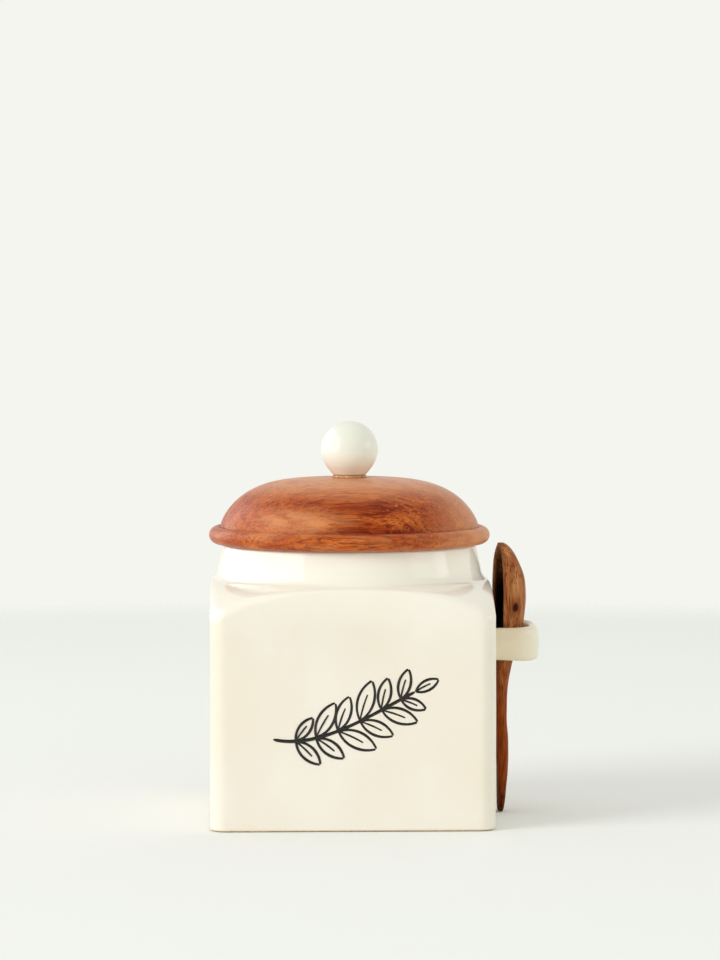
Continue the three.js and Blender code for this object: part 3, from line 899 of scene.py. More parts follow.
@dataclass
class CanisterBody:
    """The box that turns through a round shoulder into a short neck, with its hollow."""

    half: float = 0.0515
    height: float = 0.1005
    edge_radius: float = 0.006
    wall: float = 0.005
    floor: float = 0.006
    foot_rounding: float = 0.00125
    cavity_edge_radius: float = 0.009
    cavity_floor_rounding: float = 0.006
    neck_inset: float = 0.0045
    neck_taper: float = 0.00175
    neck_height: float = 0.013
    neck_wall: float = 0.0045
    neck_fillet: float = 0.0045
    rim_rounding: float = 0.00125
    shoulder_radius: float = 0.053
    shoulder_tilt: float = math.radians(15)
    arris_softness: float = 0.004
    waviness: float = 0.00009
    calm_foot: float = 0.008
    calm_neck: Pair = (0.094, 0.01)
    side_steps: int = 44
    corner_steps: int = 14
    shoulder_steps: int = 40
    wall_steps: int = 26
    fillet_steps: int = 8
    floor_shares: tuple[float, ...] = (0.25, 0.5, 0.75, 0.93)

    @cached_property
    def angles(self) -> list[float]:
        """Spreads the directions round the body.

        Returns:
            The angles, closer together at the upright edges.
        """
        edge = math.atan2(self.half - self.edge_radius, self.half)
        quarter = spread(-edge, edge, self.side_steps)[:-1]
        quarter += spread(edge, math.pi / 2 - edge, self.corner_steps)[:-1]
        return [angle + side * math.pi / 2 for side in range(4) for angle in quarter]

    def soft_minimum(self, first: float, second: float) -> float:
        """Gives the smaller distance, with a round transition where the two are nearly equal."""
        reach = max(self.arris_softness - abs(first - second), 0)
        return min(first, second) - reach**2 / (4 * self.arris_softness)

    def clay(self, radius: float, angle: float, height: float) -> Point:
        """Gives one point of the hand-finished clay, which is a little off its true surface.

        Args:
            radius: The true surface's distance from the axis.
            angle: The direction.
            height: The height.

        Returns:
            The point.
        """
        x, y, z = math.cos(angle), math.sin(angle), height / self.height
        swell = math.sin(3.1 * x + 5.3 * z + 0.7) * math.sin(2.7 * y - 4.1 * z + 1.9)
        swell += 0.5 * math.sin(7.3 * x + 2.2 * y + 8.9 * z)
        calm_top, calm_reach = self.calm_neck
        calm = min(height / self.calm_foot, 1) * min(max((calm_top - height) / calm_reach, 0), 1)
        return around(radius + self.waviness * swell * calm, angle, height)

    def ring(self, height: float, square: Square, circle: float = math.inf) -> Ring:
        """Makes one level ring: a square, inside a circle where the body is round."""
        return [self.clay(self.soft_minimum(square.radius(a), circle), a, height) for a in self.angles]

    def bottom(self, square: Square, height: float, rounding: float) -> list[Ring]:
        """Makes the rings of a flat bottom and up the round edge at its side.

        Args:
            square: The walls above it.
            height: Its height.
            rounding: The edge's radius.

        Returns:
            The rings, upwards.
        """
        flat = square.half - rounding
        squares = [(Square(flat * share, square.corner * share), height) for share in self.floor_shares]
        for reach, rise in arc((flat, height + rounding), rounding, -math.pi / 2, 0, self.fillet_steps):
            squares.append((Square(reach, square.corner - square.half + reach), rise))
        return [self.ring(rise, level) for level, rise in squares]

    def shoulder(self, square: Square, offset: float, innermost: float) -> list[Ring]:
        """Makes the rings up the long round shoulder, from below its arris to its innermost circle.

        Args:
            square: The walls below it.
            offset: How far the surface lies in from the outside.
            innermost: The radius of the innermost circle.

        Returns:
            The rings, upwards.
        """
        sine = math.sin(self.shoulder_tilt)
        foot_radius = self.half - self.neck_inset + self.neck_taper
        centre = foot_radius + self.neck_fillet * (1 - sine) - self.shoulder_radius * sine
        centre_height = self.height - self.neck_height - self.shoulder_radius * math.cos(self.shoulder_tilt)
        rings = []
        for i in range(self.shoulder_steps + 1):
            ring = []
            for angle in self.angles:
                side = square.radius(angle)
                outermost = side + self.arris_softness
                reach = outermost + (innermost - outermost) * i / self.shoulder_steps
                rise = math.sqrt((self.shoulder_radius - offset) ** 2 - (reach - centre) ** 2)
                ring.append(self.clay(self.soft_minimum(side, reach), angle, centre_height + rise))
            rings.append(ring)
        return rings

    def skin(self, square: Square, low: list[Ring], high: list[Ring]) -> list[Ring]:
        """Puts upright walls between a bottom and a shoulder.

        Args:
            square: The walls.
            low: The bottom's rings.
            high: The shoulder's rings, whose points may differ in height.

        Returns:
            All the rings, upwards.
        """
        columns = []
        for angle, below, above in zip(self.angles, low[-1], high[0]):
            heights = spread(below[2], above[2], self.wall_steps)[1:-1]
            columns.append([self.clay(square.radius(angle), angle, height) for height in heights])
        return low + [list(ring) for ring in zip(*columns)] + high

    def shell(self) -> Shell:
        """Builds the body's skin.

        Returns:
            The closed shell: up the outside, over the rim, and down the inside to the floor.
        """
        steps, rounding, quarter = self.fillet_steps, self.rim_rounding, math.pi / 2
        outside = Square(self.half, self.edge_radius)
        inside = Square(self.half - self.wall, self.cavity_edge_radius)
        rim_radius = self.half - self.neck_inset
        bore_radius = rim_radius - self.neck_wall
        rim_height = self.height - rounding
        fillet_centre = (
            rim_radius + self.neck_taper + self.neck_fillet,
            self.height - self.neck_height + self.neck_fillet * math.cos(self.shoulder_tilt),
        )
        neck_start = fillet_centre[0] - self.neck_fillet * math.sin(self.shoulder_tilt)
        fillet = arc(fillet_centre, self.neck_fillet, 3 * quarter - self.shoulder_tilt, math.pi, steps)[1:]
        rim = arc((rim_radius - rounding, rim_height), rounding, 0, quarter, steps)
        lip = arc((bore_radius + rounding, rim_height), rounding, math.pi, quarter, steps)
        neck = fillet + between(fillet[-1], rim[0], steps) + rim
        outer_bottom = self.bottom(outside, 0, self.foot_rounding)
        outer = self.skin(outside, outer_bottom, self.shoulder(outside, 0, neck_start))
        outer += [self.ring(height, outside, radius) for radius, height in neck]
        inner_bottom = self.bottom(inside, self.floor, self.cavity_floor_rounding)
        inner = self.skin(inside, inner_bottom, self.shoulder(inside, self.wall, bore_radius))
        inner += [self.ring(height, inside, radius) for radius, height in lip]
        return loft(outer + inner[::-1])

    def build(self, glaze: Material) -> None:
        """Builds the body's piece in its glaze."""
        piece = make_piece("canister_glazed_body", self.shell(), glaze)
        settle(piece, Body.CANISTER, Slot.STONEWARE, "canister_body")


@dataclass
class SpoonLoop:
    """The strap of clay luted to the canister's right side, which the spoon hangs in."""

    side: float = 0.0515
    top: float = 0.0704
    height: float = 0.012
    tilt: float = math.radians(3)
    sag: float = 0.0014
    thickness: float = 0.00425
    rounding: float = 0.0019
    standoff: float = 0.004
    inner_reach: float = 0.010787
    inner_half_width: float = 0.0103
    bend_power: float = 2.7
    flare: float = 0.0015
    flare_reach: float = 0.003
    root: float = 0.0008
    crown: float = 0.0007
    straight_steps: int = 10
    bend_steps: int = 72
    corner_steps: int = 6
    face_steps: int = 8

    def spine(self) -> list[tuple[Pair, Pair]]:
        """Gives the strap's way round the spoon, seen from above.

        Returns:
            Its inner and outer points, from its front root to its back one.
        """
        outer_reach = self.inner_reach + self.thickness
        outer_half = self.inner_half_width + self.thickness
        middle = self.side + self.standoff
        straight = []
        for x in spread(self.side - self.root, middle, self.straight_steps)[:-1]:
            share = max(1 - max(x - self.side, 0) / self.flare_reach, 0)
            straight.append(((x, -self.inner_half_width), (x, -outer_half - self.flare * share**2)))
        bend = []
        for i in range(self.bend_steps + 1):
            side = math.sin(math.pi * (i / self.bend_steps - 0.5))
            out = (1 - side**2) ** (1 / self.bend_power)
            along = math.copysign(abs(side) ** (2 / self.bend_power), side)
            inner = (middle + self.inner_reach * out, self.inner_half_width * along)
            bend.append((inner, (middle + outer_reach * out, outer_half * along)))
        return straight + bend + [((ix, -iy), (ox, -oy)) for (ix, iy), (ox, oy) in reversed(straight)]

    def section(self, inner: Pair, outer: Pair) -> Ring:
        """Makes one section: a rounded oblong, its outer face slightly crowned, its underside sagging.

        Args:
            inner: Its inner point, seen from above.
            outer: Its outer point, seen from above.

        Returns:
            The section.
        """
        width = math.dist(inner, outer)
        across = ((outer[0] - inner[0]) / width, (outer[1] - inner[1]) / width)
        half_width, half_height = width / 2, self.height / 2
        rise = half_height - self.rounding
        outline = []
        for quarter, (sx, sz) in enumerate(((1, 1), (-1, 1), (-1, -1), (1, -1))):
            start = quarter * math.pi / 2
            centre = (sx * (half_width - self.rounding), sz * rise)
            outline += arc(centre, self.rounding, start, start + math.pi / 2, self.corner_steps)
        outline += between((half_width, -rise), (half_width, rise), self.face_steps)
        ring = []
        cosine, sine = math.cos(self.tilt), math.sin(self.tilt)
        reach = self.standoff + self.inner_reach + self.thickness
        for offset, z in outline:
            if offset > 0:
                offset -= self.crown * (z / half_height) ** 2
            x, y = (start + step * (half_width + offset) for start, step in zip(inner, across))
            out = max((x - self.side) / reach, 0.0)
            z -= self.sag * (0.5 - z / self.height) * out**2
            ring.append((x, y * cosine - z * sine, self.top - half_height + y * sine + z * cosine))
        return ring

    def build(self, glaze: Material) -> None:
        """Builds the strap's piece in its glaze."""
        shell = loft([self.section(inner, outer) for inner, outer in self.spine()])
        settle(make_piece("spoon_strap_loop", shell, glaze), Body.CANISTER, Slot.STONEWARE, "spoon_loop")


@dataclass
class FrontSprig:
    """A small leafy sprig in thin black brush strokes on the front face."""

    face: float = -0.0515
    centre: Pair = (-0.0013, 0.0420)
    stroke_rise: float = 0.0002
    stroke_width: float = 0.0013
    stroke_end: float = 0.035
    end_fade: float = 0.02
    press: float = 0.86
    press_swell: float = 0.14
    press_shake: float = 0.05
    shake_waves: float = 9.0
    shake_shift: float = 900.0
    outline_share: float = 0.78
    vein_share: float = 0.546
    slope_step: float = 0.01
    stem: tuple[Pair, ...] = ((-0.0275, -0.0085), (-0.011, -0.0125), (0.008, 0.0005), (0.0235, 0.0085))
    leaf_length: float = 0.0152
    leaf_width: float = 0.0056
    leaf_angle: float = math.radians(47)
    leaf_places: tuple[float, ...] = (0.16, 0.3, 0.45, 0.6, 0.75, 0.89)
    leaf_scales: tuple[float, ...] = (0.8, 0.95, 1.0, 1.0, 0.9, 0.74)
    lower_turn: float = 1.06
    lower_scale: float = 0.86
    tip_scale: float = 0.62
    stroke_steps: int = 30
    section_steps: int = 10

    @staticmethod
    def curve(points: Sequence[Pair], t: float) -> Pair:
        """Gives the point at a share of the way along a cubic curve with four control points."""
        shares = ((1 - t) ** 3, 3 * t * (1 - t) ** 2, 3 * t * t * (1 - t), t**3)
        return tuple(sum(share * part for share, part in zip(shares, parts)) for parts in zip(*points))

    def stroke(self, points: Sequence[Pair], width: float, lift: float = 0.0) -> Shell:
        """Makes one brush stroke with round ends, half sunk in the face.

        Args:
            points: Its four control points, from the sprig's centre.
            width: Its width where the brush is pressed.
            lift: How much more thickly it stands, as a share.

        Returns:
            The stroke.
        """
        rings = []
        for i in range(self.stroke_steps + 1):
            t = 0.5 - 0.5 * math.cos(math.pi * i / self.stroke_steps)
            x, z = self.curve(points, t)
            before = self.curve(points, max(t - self.slope_step, 0))
            after = self.curve(points, min(t + self.slope_step, 1))
            length = math.dist(before, after)
            dx, dz = (after[0] - before[0]) / length, (after[1] - before[1]) / length
            end = max(min(t, 1 - t) / self.stroke_end, 0.0)
            fade = max(math.sqrt(1 - (1 - min(end, 1)) ** 2), self.end_fade)
            shake = math.sin(self.shake_waves * t + points[0][0] * self.shake_shift)
            press = self.press + self.press_swell * math.sin(math.pi * t) + self.press_shake * shake
            ring = []
            for k in range(self.section_steps):
                angle = 2 * math.pi * k / self.section_steps
                off = width / 2 * fade * press * math.cos(angle)
                rise = self.stroke_rise * (1 + lift) * math.sin(angle) * fade
                ring.append((self.centre[0] + x - dz * off, self.face - rise, self.centre[1] + z + dx * off))
            rings.append(ring)
        return loft(rings)

    def leaf(self, base: Pair, heading: float, scale: float) -> list[Shell]:
        """Makes one leaf: two outline strokes that meet at its tip, and its middle vein.

        Args:
            base: Where it grows from the stem.
            heading: The direction that it points in.
            scale: Its size, as a share of the largest leaf.

        Returns:
            Its strokes.
        """
        length, width = self.leaf_length * scale, self.leaf_width * scale
        along = (math.cos(heading), math.sin(heading))

        def at(forward: float, aside: float) -> Pair:
            """Gives a place on the leaf, from shares of its length and width."""
            x = base[0] + along[0] * length * forward - along[1] * width * aside
            return x, base[1] + along[1] * length * forward + along[0] * width * aside

        outline, vein = self.stroke_width * self.outline_share, self.stroke_width * self.vein_share
        return [
            self.stroke((at(0.02, 0), at(0.3, 0.72), at(0.72, 0.7), at(1.0, 0.02)), outline, 0.05),
            self.stroke((at(0.02, 0), at(0.32, -0.74), at(0.74, -0.6), at(0.99, -0.02)), outline, 0.1),
            self.stroke((at(0.0, 0), at(0.2, 0.06), at(0.4, 0.08), at(0.66, 0.02)), vein, 0.15),
        ]

    def heading(self, first: float, second: float) -> float:
        """Gives the direction from one share of the way along the stem to another."""
        (x, z), (next_x, next_z) = (self.curve(self.stem, t) for t in (first, second))
        return math.atan2(next_z - z, next_x - x)

    def build(self, ink: Material) -> None:
        """Builds the sprig's piece.

        Args:
            ink: Its brush colour.
        """
        strokes = []
        for index, (t, scale) in enumerate(zip(self.leaf_places, self.leaf_scales)):
            base, heading = self.curve(self.stem, t), self.heading(t, t + self.slope_step)
            turn = self.leaf_angle if index % 2 else -self.leaf_angle
            strokes += self.leaf(base, heading + turn, scale)
            strokes += self.leaf(base, heading - turn * self.lower_turn, scale * self.lower_scale)
        heading = self.heading(1 - 2 * self.slope_step, 1)
        strokes += self.leaf(self.curve(self.stem, 1), heading, self.tip_scale)
        sprig = self.stroke(self.stem, self.stroke_width)
        for stroke in strokes:
            sprig.join(stroke)
        settle(make_piece("front_sprig", sprig, ink, crease=60.0), Body.CANISTER, None)


@dataclass
class Lid:
    """The lid, turned from one block: dome, bead, plug with the seal's groove, and the screw's hole."""

    seat: float = 0.1005
    radius: float = 0.052
    bead: float = 0.00625
    dome_radius: float = 0.04785
    dome_height: float = 0.018
    dome_power: float = 4.0
    dome_roll: float = 0.72
    groove_depth: float = 0.0005
    plug_radius: float = 0.0405
    plug_depth: float = 0.009
    plug_chamfer: float = 0.001
    plug_face_radius: float = 0.0243
    seal_groove_radius: float = 0.0382
    seal_groove_top: float = -0.0025
    seal_groove_height: float = 0.0046
    counterbore_radius: float = 0.006
    counterbore_depth: float = 0.004
    hole_radius: float = 0.0023
    easing: float = 0.0002
    dome_steps: int = 56
    bead_steps: int = 20
    steps: int = 192

    def dome(self) -> list[Corner]:
        """Gives the dome's outline.

        Returns:
            Its corners with no rounding, from the screw's hole out and down to just above its foot.
        """
        corners = []
        start = math.asin((self.hole_radius / self.dome_radius) ** (self.dome_power / 2))
        for angle in spread(start, math.pi / 2, self.dome_steps)[:-1]:
            radius = self.dome_radius * math.sin(angle) ** (2 / self.dome_power)
            rise = self.dome_height * math.cos(angle) ** (2 * self.dome_roll)
            corners.append((radius, self.bead + rise, 0.0))
        return corners

    def outline(self) -> list[Pair]:
        """Gives the lid's closed outline.

        Returns:
            Its points, down the outside and up the hole.
        """
        half_bead, ease = self.bead / 2, self.easing
        bead_centre = (self.radius - half_bead, half_bead)
        bead = arc(bead_centre, half_bead, math.pi / 2, -math.pi / 2, self.bead_steps)
        groove_bottom = self.seal_groove_top - self.seal_groove_height
        counterbore = self.counterbore_depth - self.plug_depth
        corners = [
            *self.dome(),
            (self.dome_radius, self.bead - self.groove_depth, ease),
            *[(*point, 0.0) for point in bead],
            (self.plug_radius, 0.0, ease),
            (self.plug_radius, self.seal_groove_top, ease),
            (self.seal_groove_radius, self.seal_groove_top, ease),
            (self.seal_groove_radius, groove_bottom, ease),
            (self.plug_radius, groove_bottom, ease),
            (self.plug_radius, self.plug_chamfer - self.plug_depth, ease),
            (self.plug_radius - self.plug_chamfer, -self.plug_depth, ease),
            (self.plug_face_radius, -self.plug_depth, 0.0),
            (self.counterbore_radius, -self.plug_depth, ease),
            (self.counterbore_radius, counterbore, ease),
            (self.hole_radius, counterbore, ease),
        ]
        return eased(corners)

    def build(self, wood: Material) -> None:
        """Builds the lid's piece in its wood."""
        shell = turned(self.outline(), self.seat, self.steps)
        settle(make_piece("lid_turned_wood", shell, wood, crease=50.0), Body.LID, Slot.LID_WOOD, "lid")


@dataclass
class Seal:
    """The soft ring round the plug: a band with two lips that lean out to the bore."""

    bottom: float = 0.0937
    height: float = 0.004
    lip: float = 0.0009
    core_radius: float = 0.0405
    outer_radius: float = 0.0422
    inner_radius: float = 0.0385
    easing: float = 0.00022
    steps: int = 192

    def build(self, silicone: Material) -> None:
        """Builds the seal's piece.

        Args:
            silicone: Its material.
        """
        upper, ease = self.height - self.lip, self.easing
        corners = [
            (self.inner_radius, 0.0, ease),
            (self.core_radius, 0.0, 0.0),
            (self.outer_radius, self.lip / 2, ease),
            (self.outer_radius, self.lip, ease),
            (self.core_radius, self.lip, ease),
            (self.core_radius, upper, ease),
            (self.outer_radius, upper + self.lip / 2, ease),
            (self.outer_radius, self.height, ease),
            (self.inner_radius, self.height, ease),
        ]
        piece = make_piece("plug_seal_ring", turned(eased(corners), self.bottom, self.steps), silicone)
        settle(piece, Body.SEAL, Slot.SILICONE, "lid_seal")


@dataclass
class Knob:
    """The glazed ball on its short foot, with the cork ring under it."""

    seat: float = 0.1256
    radius: float = 0.0106
    height: float = 0.0201
    foot_radius: float = 0.0063
    foot_rounding: float = 0.0005
    hole_radius: float = 0.00355
    hole_depth: float = 0.0093
    cork_thickness: float = 0.00085
    screw_hole_radius: float = 0.0023
    easing: float = 0.0003
    foot_easing: float = 0.00025
    cone_steps: int = 6
    ball_steps: int = 48
    steps: int = 128

    def ball_outline(self) -> list[Pair]:
        """Gives the knob's closed outline.

        Returns:
            Its points, up the outside and down the blind hole.
        """
        centre = (0.0, self.height - self.radius)
        cone_foot = (self.foot_radius, self.foot_rounding)
        reach = math.dist(centre, cone_foot)
        foot_angle = math.atan2(self.foot_rounding - centre[1], self.foot_radius)
        tangent = foot_angle + math.acos(min(self.radius / reach, 1.0))
        ball = arc(centre, self.radius, tangent, math.pi / 2, self.ball_steps)[:-1]
        corners = [
            (self.hole_radius, 0.0, self.easing),
            (self.foot_radius - self.foot_rounding, 0.0, self.foot_easing),
            (*cone_foot, self.easing),
            *[(*point, 0.0) for point in between(cone_foot, ball[0], self.cone_steps) + ball],
            (0.0, self.height, 0.0),
            (0.0, self.hole_depth, 0.0),
            (self.hole_radius, self.hole_depth, 0.0),
        ]
        return eased(corners)

    def build(self, glaze: Material, cork: Material) -> None:
        """Builds the ball and the ring.

        Args:
            glaze: The ball's material.
            cork: The ring's material.
        """
        ball = make_piece("knob_glazed_ball", turned(self.ball_outline(), self.seat, self.steps), glaze)
        ring_corners = [
            (self.screw_hole_radius, 0.0, 0.0),
            (self.foot_radius, 0.0, self.easing),
            (self.foot_radius, self.cork_thickness, self.easing),
            (self.screw_hole_radius, self.cork_thickness, 0.0),
        ]
        foot = self.seat - self.cork_thickness
        ring = make_piece("knob_cork_ring", turned(eased(ring_corners), foot, self.steps), cork)
        settle(ball, Body.LID, Slot.KNOB, "knob")
        settle(ring, Body.LID, Slot.CORK, "knob_washer")


@dataclass
class KnobFixing:
    """The nut, screw and washer that hold the knob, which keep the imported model's shapes."""

    brass_nodes: tuple[str, ...] = ("knob_insert",)
    steel_nodes: tuple[str, ...] = ("knob_screw", "screw_washer")

    def dress(self, brass: Material, steel: Material) -> None:
        """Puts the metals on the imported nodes.

        Args:
            brass: The nut's material.
            steel: The screw's and washer's material.
        """
        for names, metal in ((self.brass_nodes, brass), (self.steel_nodes, steel)):
            for name in names:
                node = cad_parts[name]
                node.data.materials.clear()
                node.data.materials.append(metal)
                LOG.info("%s keeps its shape, in %s", name, metal.name)


@dataclass
class Spoon:
    """The spoon, carved from one piece, that hangs bowl up in the loop.

    Each station is a place along it, half its width, its back, its front, its hollow and its edge, as shares
    of the spoon's sizes. The knife marks are the product of two waves, each with its radians per metre along
    the spoon and per radian round its back.
    """

    place: Point = (0.0555, 0.0, 0.0004)
    turn: float = math.radians(8)
    length: float = 0.1
    bowl_half_width: float = 0.01125
    bowl_depth: float = 0.0101
    lip: float = 0.0016
    bowl_round_share: float = 0.62
    full_hollow: float = 0.5
    knife_marks: float = 0.00007
    fine_marks: Pair = (620.0, 5.0)
    long_marks: Pair = (90.0, 7.0)
    steps_per_station: int = 9
    edge_steps: int = 40
    stations: tuple[tuple[float, ...], ...] = (
        (0.0, 0.22, 0.16, -0.02, 0.0, 0.5),
        (0.018, 0.3, 0.2, -0.04, 0.0, 0.5),
        (0.07, 0.37, 0.26, -0.05, 0.0, 0.5),
        (0.15, 0.4, 0.33, -0.06, 0.0, 0.5),
        (0.24, 0.37, 0.36, -0.08, 0.0, 0.5),
        (0.35, 0.33, 0.3, -0.1, 0.0, 0.5),
        (0.455, 0.33, 0.33, -0.12, 0.0, 0.5),
        (0.545, 0.42, 0.48, -0.13, 0.0, 0.45),
        (0.61, 0.6, 0.68, -0.08, 0.0, 0.3),
        (0.685, 0.84, 0.87, -0.02, 0.32, 0.05),
        (0.735, 0.93, 0.95, -0.02, 0.58, 0.0),
        (0.81, 0.97, 1.0, -0.02, 0.72, 0.0),
        (0.87, 0.93, 0.94, -0.02, 0.66, 0.0),
        (0.93, 0.79, 0.73, -0.02, 0.42, 0.0),
        (0.972, 0.56, 0.49, -0.03, 0.16, 0.08),
        (0.993, 0.3, 0.29, -0.04, 0.0, 0.3),
        (1.0, 0.1, 0.16, -0.03, 0.0, 0.5),
    )

    def shares(self, place: float) -> list[float]:
        """Gives one station, smoothed between those of the table.

        Args:
            place: The station's number, with a fraction between two.

        Returns:
            Its shares.
        """
        last = len(self.stations) - 1
        i = min(math.floor(place), last - 1)
        t = place - i
        rows = [self.stations[min(max(i + k, 0), last)] for k in (-1, 0, 1, 2)]
        smoothed = []
        for before, value, following, after in zip(*rows):
            linear = following - before
            square = 2 * before - 5 * value + 4 * following - after
            cube = -before + 3 * value - 3 * following + after
            smoothed.append((2 * value + linear * t + square * t * t + cube * t**3) / 2)
        return smoothed

    def section(self, place: float) -> tuple[Ring, list[float]]:
        """Makes one section: across the back, then across the front and down into the bowl.

        Args:
            place: The station's number, with a fraction between two.

        Returns:
            The section where the spoon hangs, and how deep in the hollow each point lies, from 0 to 1.
        """
        along, width, back, front, hollow, edge = self.shares(place)
        z = along * self.length
        half, hollow = max(width, 0.0) * self.bowl_half_width, max(hollow, 0.0)
        back_x, front_x = back * self.bowl_depth, front * self.bowl_depth
        edge_x = front_x + max(edge, 0.0) * (back_x - front_x)
        hollow_half = max(half - self.lip, self.lip)
        angles = [math.pi * i / self.edge_steps for i in range(self.edge_steps)]
        waves = (self.fine_marks, self.long_marks)
        outline, depths = [], [0.0] * self.edge_steps
        for angle in angles:
            fine, long = (math.sin(per_metre * z + per_radian * angle) for per_metre, per_radian in waves)
            mark = self.knife_marks * math.sin(angle) * fine * long
            outline.append((edge_x + (back_x - edge_x) * math.sin(angle) + mark, -half * math.cos(angle)))
        for angle in angles:
            y = half * math.cos(angle)
            scoop = max(1 - (y / hollow_half) ** 2, 0.0) ** self.bowl_round_share
            x = edge_x - (edge_x - front_x) * math.sin(angle) + hollow * self.bowl_depth * scoop
            outline.append((x, y))
            depths.append(min(hollow / self.full_hollow, 1.0) * scoop)
        cosine, sine = math.cos(self.turn), math.sin(self.turn)
        x0, y0, z0 = self.place
        return [(x0 + x * cosine - y * sine, y0 + x * sine + y * cosine, z0 + z) for x, y in outline], depths

    def build(self, wood: Material) -> None:
        """Builds the spoon's piece.

        Args:
            wood: Its material.
        """
        count = (len(self.stations) - 1) * self.steps_per_station
        sections = [self.section(i / self.steps_per_station) for i in range(count + 1)]
        piece = make_piece("spoon_carved_wood", loft([ring for ring, _ in sections]), wood, crease=45.0)
        shares = piece.data.attributes.new(HOLLOW_SHARE, "FLOAT", "POINT")
        for index, depth in enumerate(depth for _, depths in sections for depth in depths):
            shares.data[index].value = depth
        settle(piece, Body.SPOON, Slot.SPOON_WOOD, "spoon")


@dataclass(frozen=True)
class Lamp:
    """A rectangular lamp that the camera doesn't see. Where its strength is 1, it looks white."""

    name: str
    role: Role
    strength: float
    place: Point
    size: Pair
    aim: Point = (0.0, 0.0, 0.07)

    def hang(self) -> None:
        """Adds the lamp to the scene."""
        data = bpy.data.lights.new(self.name, "AREA")
        data.shape = "RECTANGLE"
        data.size, data.size_y = self.size
        data.energy = self.strength * math.pi * self.size[0] * self.size[1]
        lamp = bpy.data.objects.new(self.name, data)
        lamp.location = self.place
        x, y, z = (aim - place for aim, place in zip(self.aim, self.place))
        pitch, yaw = math.atan2(z, math.hypot(x, y)), math.atan2(y, x)
        lamp.rotation_euler = (math.pi / 2 + pitch, 0.0, yaw - math.pi / 2)
        lamp.visible_camera = False
        lamp.visible_diffuse = self.role is Role.LIGHT
        lamp.visible_shadow = self.role is Role.LIGHT
        lamp.visible_glossy = self.role is Role.MIRROR
        bpy.context.scene.collection.objects.link(lamp)


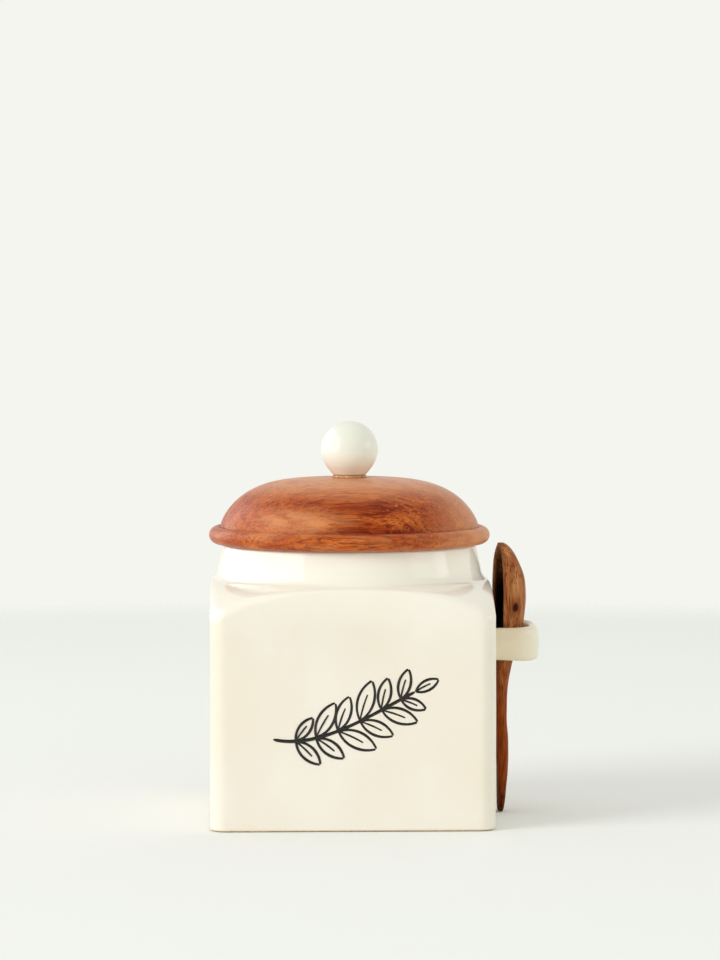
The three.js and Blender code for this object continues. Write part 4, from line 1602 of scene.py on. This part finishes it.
@dataclass
class Studio:
    """A pale table and backdrop, soft light from the front left, and the camera.

    The lamps are the window to the left, its image in the glaze, and those of a card and a wall to the right.
    """

    camera_place: Point = (-0.03909, -1.39946, 0.198)
    camera_pitch: float = math.radians(3.036)
    camera_yaw: float = math.radians(1.7615)
    lens: float = 141.9
    sensor: float = 36.0
    clip_end: float = 50.0
    table_rings: tuple[float, ...] = (0.1152, 0.336, 0.672, 0.96)
    table_steps: int = 96
    table_fade: Pair = (0.79, 0.95)
    table_shade: Pair = (0.35, 0.85)
    table_shade_share: float = 0.96
    table_cloud: Noise = Noise(0.2, 3.0)
    table_colour: Colour = tint(247, 248, 244)
    backdrop_colour: Colour = tint(244, 245, 239)
    sky_left: Colour = (0.62, 0.62, 0.61)
    sky_right: Colour = (1.08, 1.12, 1.07)
    sky_over: Colour = (0.73, 0.73, 0.72)
    room: Colour = (0.2, 0.18, 0.15)
    sky_turn: Pair = (-0.8, 0.8)
    sky_rise: Pair = (0.1, 0.9)
    wall_away: Pair = (-0.25, 0.45)
    wall_up: Pair = (0.5, 0.95)
    wall_across: Pair = (0.2, 0.9)
    lamps: tuple[Lamp, ...] = (
        Lamp("window_light", Role.LIGHT, 11.0, (-4.98, -2.64, 2.2), (3.2, 1.68)),
        Lamp("window_shine", Role.MIRROR, 2.4, (-1.3, 0.42, 0.85), (3.6, 1.72), (0.0, 0.42, 0.85)),
        Lamp("card_shine", Role.MIRROR, 1.9, (1.3, -0.06, 0.49), (0.3, 0.44)),
        Lamp("wall_shine", Role.MIRROR, 1.0, (1.3, -0.5, 0.49), (0.6, 0.44)),
    )

    def set_camera(self) -> None:
        """Makes the camera for a 720 x 960 picture."""
        data = bpy.data.cameras.new("studio_camera")
        data.lens = self.lens
        data.sensor_width = self.sensor
        data.clip_end = self.clip_end
        camera = bpy.data.objects.new("studio_camera", data)
        camera.location = self.camera_place
        camera.rotation_euler = (math.pi / 2 - self.camera_pitch, 0.0, -self.camera_yaw)
        bpy.context.scene.collection.objects.link(camera)
        bpy.context.scene.camera = camera

    def set_table(self) -> None:
        """Makes the round table top, with painted shade towards its far edge, which fades into the backdrop.
        """
        shader = Shader("pale_table", Roughness=0.9, Specular_IOR_Level=0.2)
        shaded = tuple(part * self.table_shade_share for part in self.table_colour)
        # Painted shade: the table is painted up to 4% darker towards its far edge, mixed with a little random
        # cloud.
        share = shader.noise(self.table_cloud) * 0.2 + shader.radius.smooth(*self.table_shade) * 0.8
        shader.dress(Base_Color=shader.mix(share, self.table_colour, shaded))
        clear = shader.node("ShaderNodeBsdfTransparent").outputs["BSDF"]
        inputs = {0: shader.radius.smooth(*self.table_fade), 1: shader.surface.outputs["BSDF"], 2: clear}
        blend = shader.node("ShaderNodeMixShader", inputs=inputs)
        shader.feed(shader.output.inputs["Surface"], blend.outputs["Shader"])
        turns = [2 * math.pi * i / self.table_steps for i in range(self.table_steps)]
        rings = [[around(radius, turn, 0.0) for turn in turns] for radius in self.table_rings]
        table = make_piece("studio_table", loft(rings, caps=1), shader.material)

    def set_world(self) -> None:
        """Makes the surroundings: a pale backdrop to the eye, and light that changes from left to right."""
        world = bpy.data.worlds.new("studio_world")
        world.use_nodes = True
        nodes = Nodes(world.node_tree, Coordinates.SKY)
        across, away, up = nodes.axes
        light = nodes.mix(across.smooth(*self.sky_turn), self.sky_left, self.sky_right)
        light = nodes.mix(up.smooth(*self.sky_rise), light, self.sky_over)
        wall = away.smooth(*self.wall_away) + up.smooth(*self.wall_up) * 0.3
        wall = wall + across.smooth(*self.wall_across) * 0.55
        image = nodes.mix(wall, self.room, self.backdrop_colour)
        ray = nodes.node("ShaderNodeLightPath")
        glossy, camera, through = (
            Signal(nodes, ray.outputs[f"Is {kind} Ray"]) for kind in ("Glossy", "Camera", "Transmission")
        )
        colour = nodes.mix(glossy, light, image)
        colour = nodes.mix(camera + through, colour, self.backdrop_colour)
        background = nodes.node("ShaderNodeBackground", inputs={"Color": colour, "Strength": 1.0})
        nodes.node("ShaderNodeOutputWorld", inputs={"Surface": background.outputs["Background"]})
        bpy.context.scene.world = world

    def build(self) -> None:
        """Sets up the whole studio."""
        self.set_camera()
        self.set_table()
        self.set_world()
        for lamp in self.lamps:
            lamp.hang()
        bpy.context.scene.view_settings.view_transform = "Standard"


def main() -> None:
    """Builds the studio and then each sub-assembly."""
    logging.basicConfig(level=logging.INFO, format="%(message)s")
    Studio().build()
    # Painted shade: the knob's thin colour is darker than its cream and is painted over its top, from 128 to
    # 142 mm up.
    knob_glaze = Glaze(
        "cream_knob_glaze",
        cream=tint(249, 252, 241),
        shade=tint(246, 248, 233),
        thin=tint(231, 230, 214),
        painted_light_reach=(0.128, 0.142),
        foot_height=0.1258,
        foot_softness=0.0004,
        bare_clay=tint(205, 164, 104),
        gloss=(0.16, 0.24),
    )
    # Painted shade: the strap's glaze is a darker, warmer copy of the canister's, because the strap lies in
    # the canister's shade. Its thin colour along X paints a paler sheen on the strap's outer end.
    shaded_loop_glaze = Glaze(
        "painted_shade_loop_glaze",
        cream=tint(234, 220, 191),
        shade=tint(228, 211, 179),
        thin=tint(239, 232, 212),
        painted_light_axis=Axis.X,
        painted_light_reach=(0.06, 0.0705),
    )
    lid_wood = LidWood(
        name="reddish_lid_wood",
        grain=Axis.X,
        pale=tint(204, 106, 40),
        middle=tint(180, 76, 14),
        dark=tint(124, 34, 4),
        pore=tint(84, 20, 2),
        fleck=tint(219, 132, 62),
        pith=(0.018, 0.03),
        ring_spacing=0.0042,
        ring_share=0.25,
        streak_share=0.48,
        roughness=0.34,
        specular=0.13,
        sheen=0.06,
        hearts=(
            ((0.003, -0.038, 0.1155), (0.026, 0.014, 0.0042)),
            ((0.008, -0.0445, 0.1078), (0.024, 0.014, 0.0026)),
        ),
    )
    spoon_wood = SpoonWood(
        name="brown_spoon_wood",
        grain=Axis.Z,
        pale=tint(214, 151, 96),
        middle=tint(178, 111, 61),
        dark=tint(112, 35, 2),
        pore=tint(52, 18, 3),
        fleck=tint(204, 150, 100),
        pith=(0.035, -0.012),
        ring_spacing=0.0031,
        ring_share=0.35,
        streak_share=0.4,
        roughness=0.42,
        specular=0.05,
    )
    brass = TurnedMetal("turned_brass", tint(212, 172, 92), tint(168, 128, 60))
    steel = TurnedMetal("turned_steel", tint(198, 200, 203), tint(150, 152, 156))
    # Painted light: the canister keeps the default paler band on its neck and upper front, a painted highlight
    # where the lid's overhang shades them.
    CanisterBody().build(Glaze("cream_canister_glaze").material())
    SpoonLoop().build(shaded_loop_glaze.material())
    FrontSprig().build(BrushColour().material())
    Lid().build(lid_wood.material())
    Seal().build(Silicone().material())
    Knob().build(knob_glaze.material(), Cork().material())
    KnobFixing().dress(brass.material(), steel.material())
    Spoon().build(spoon_wood.material())


if __name__ == "__main__":
    main()
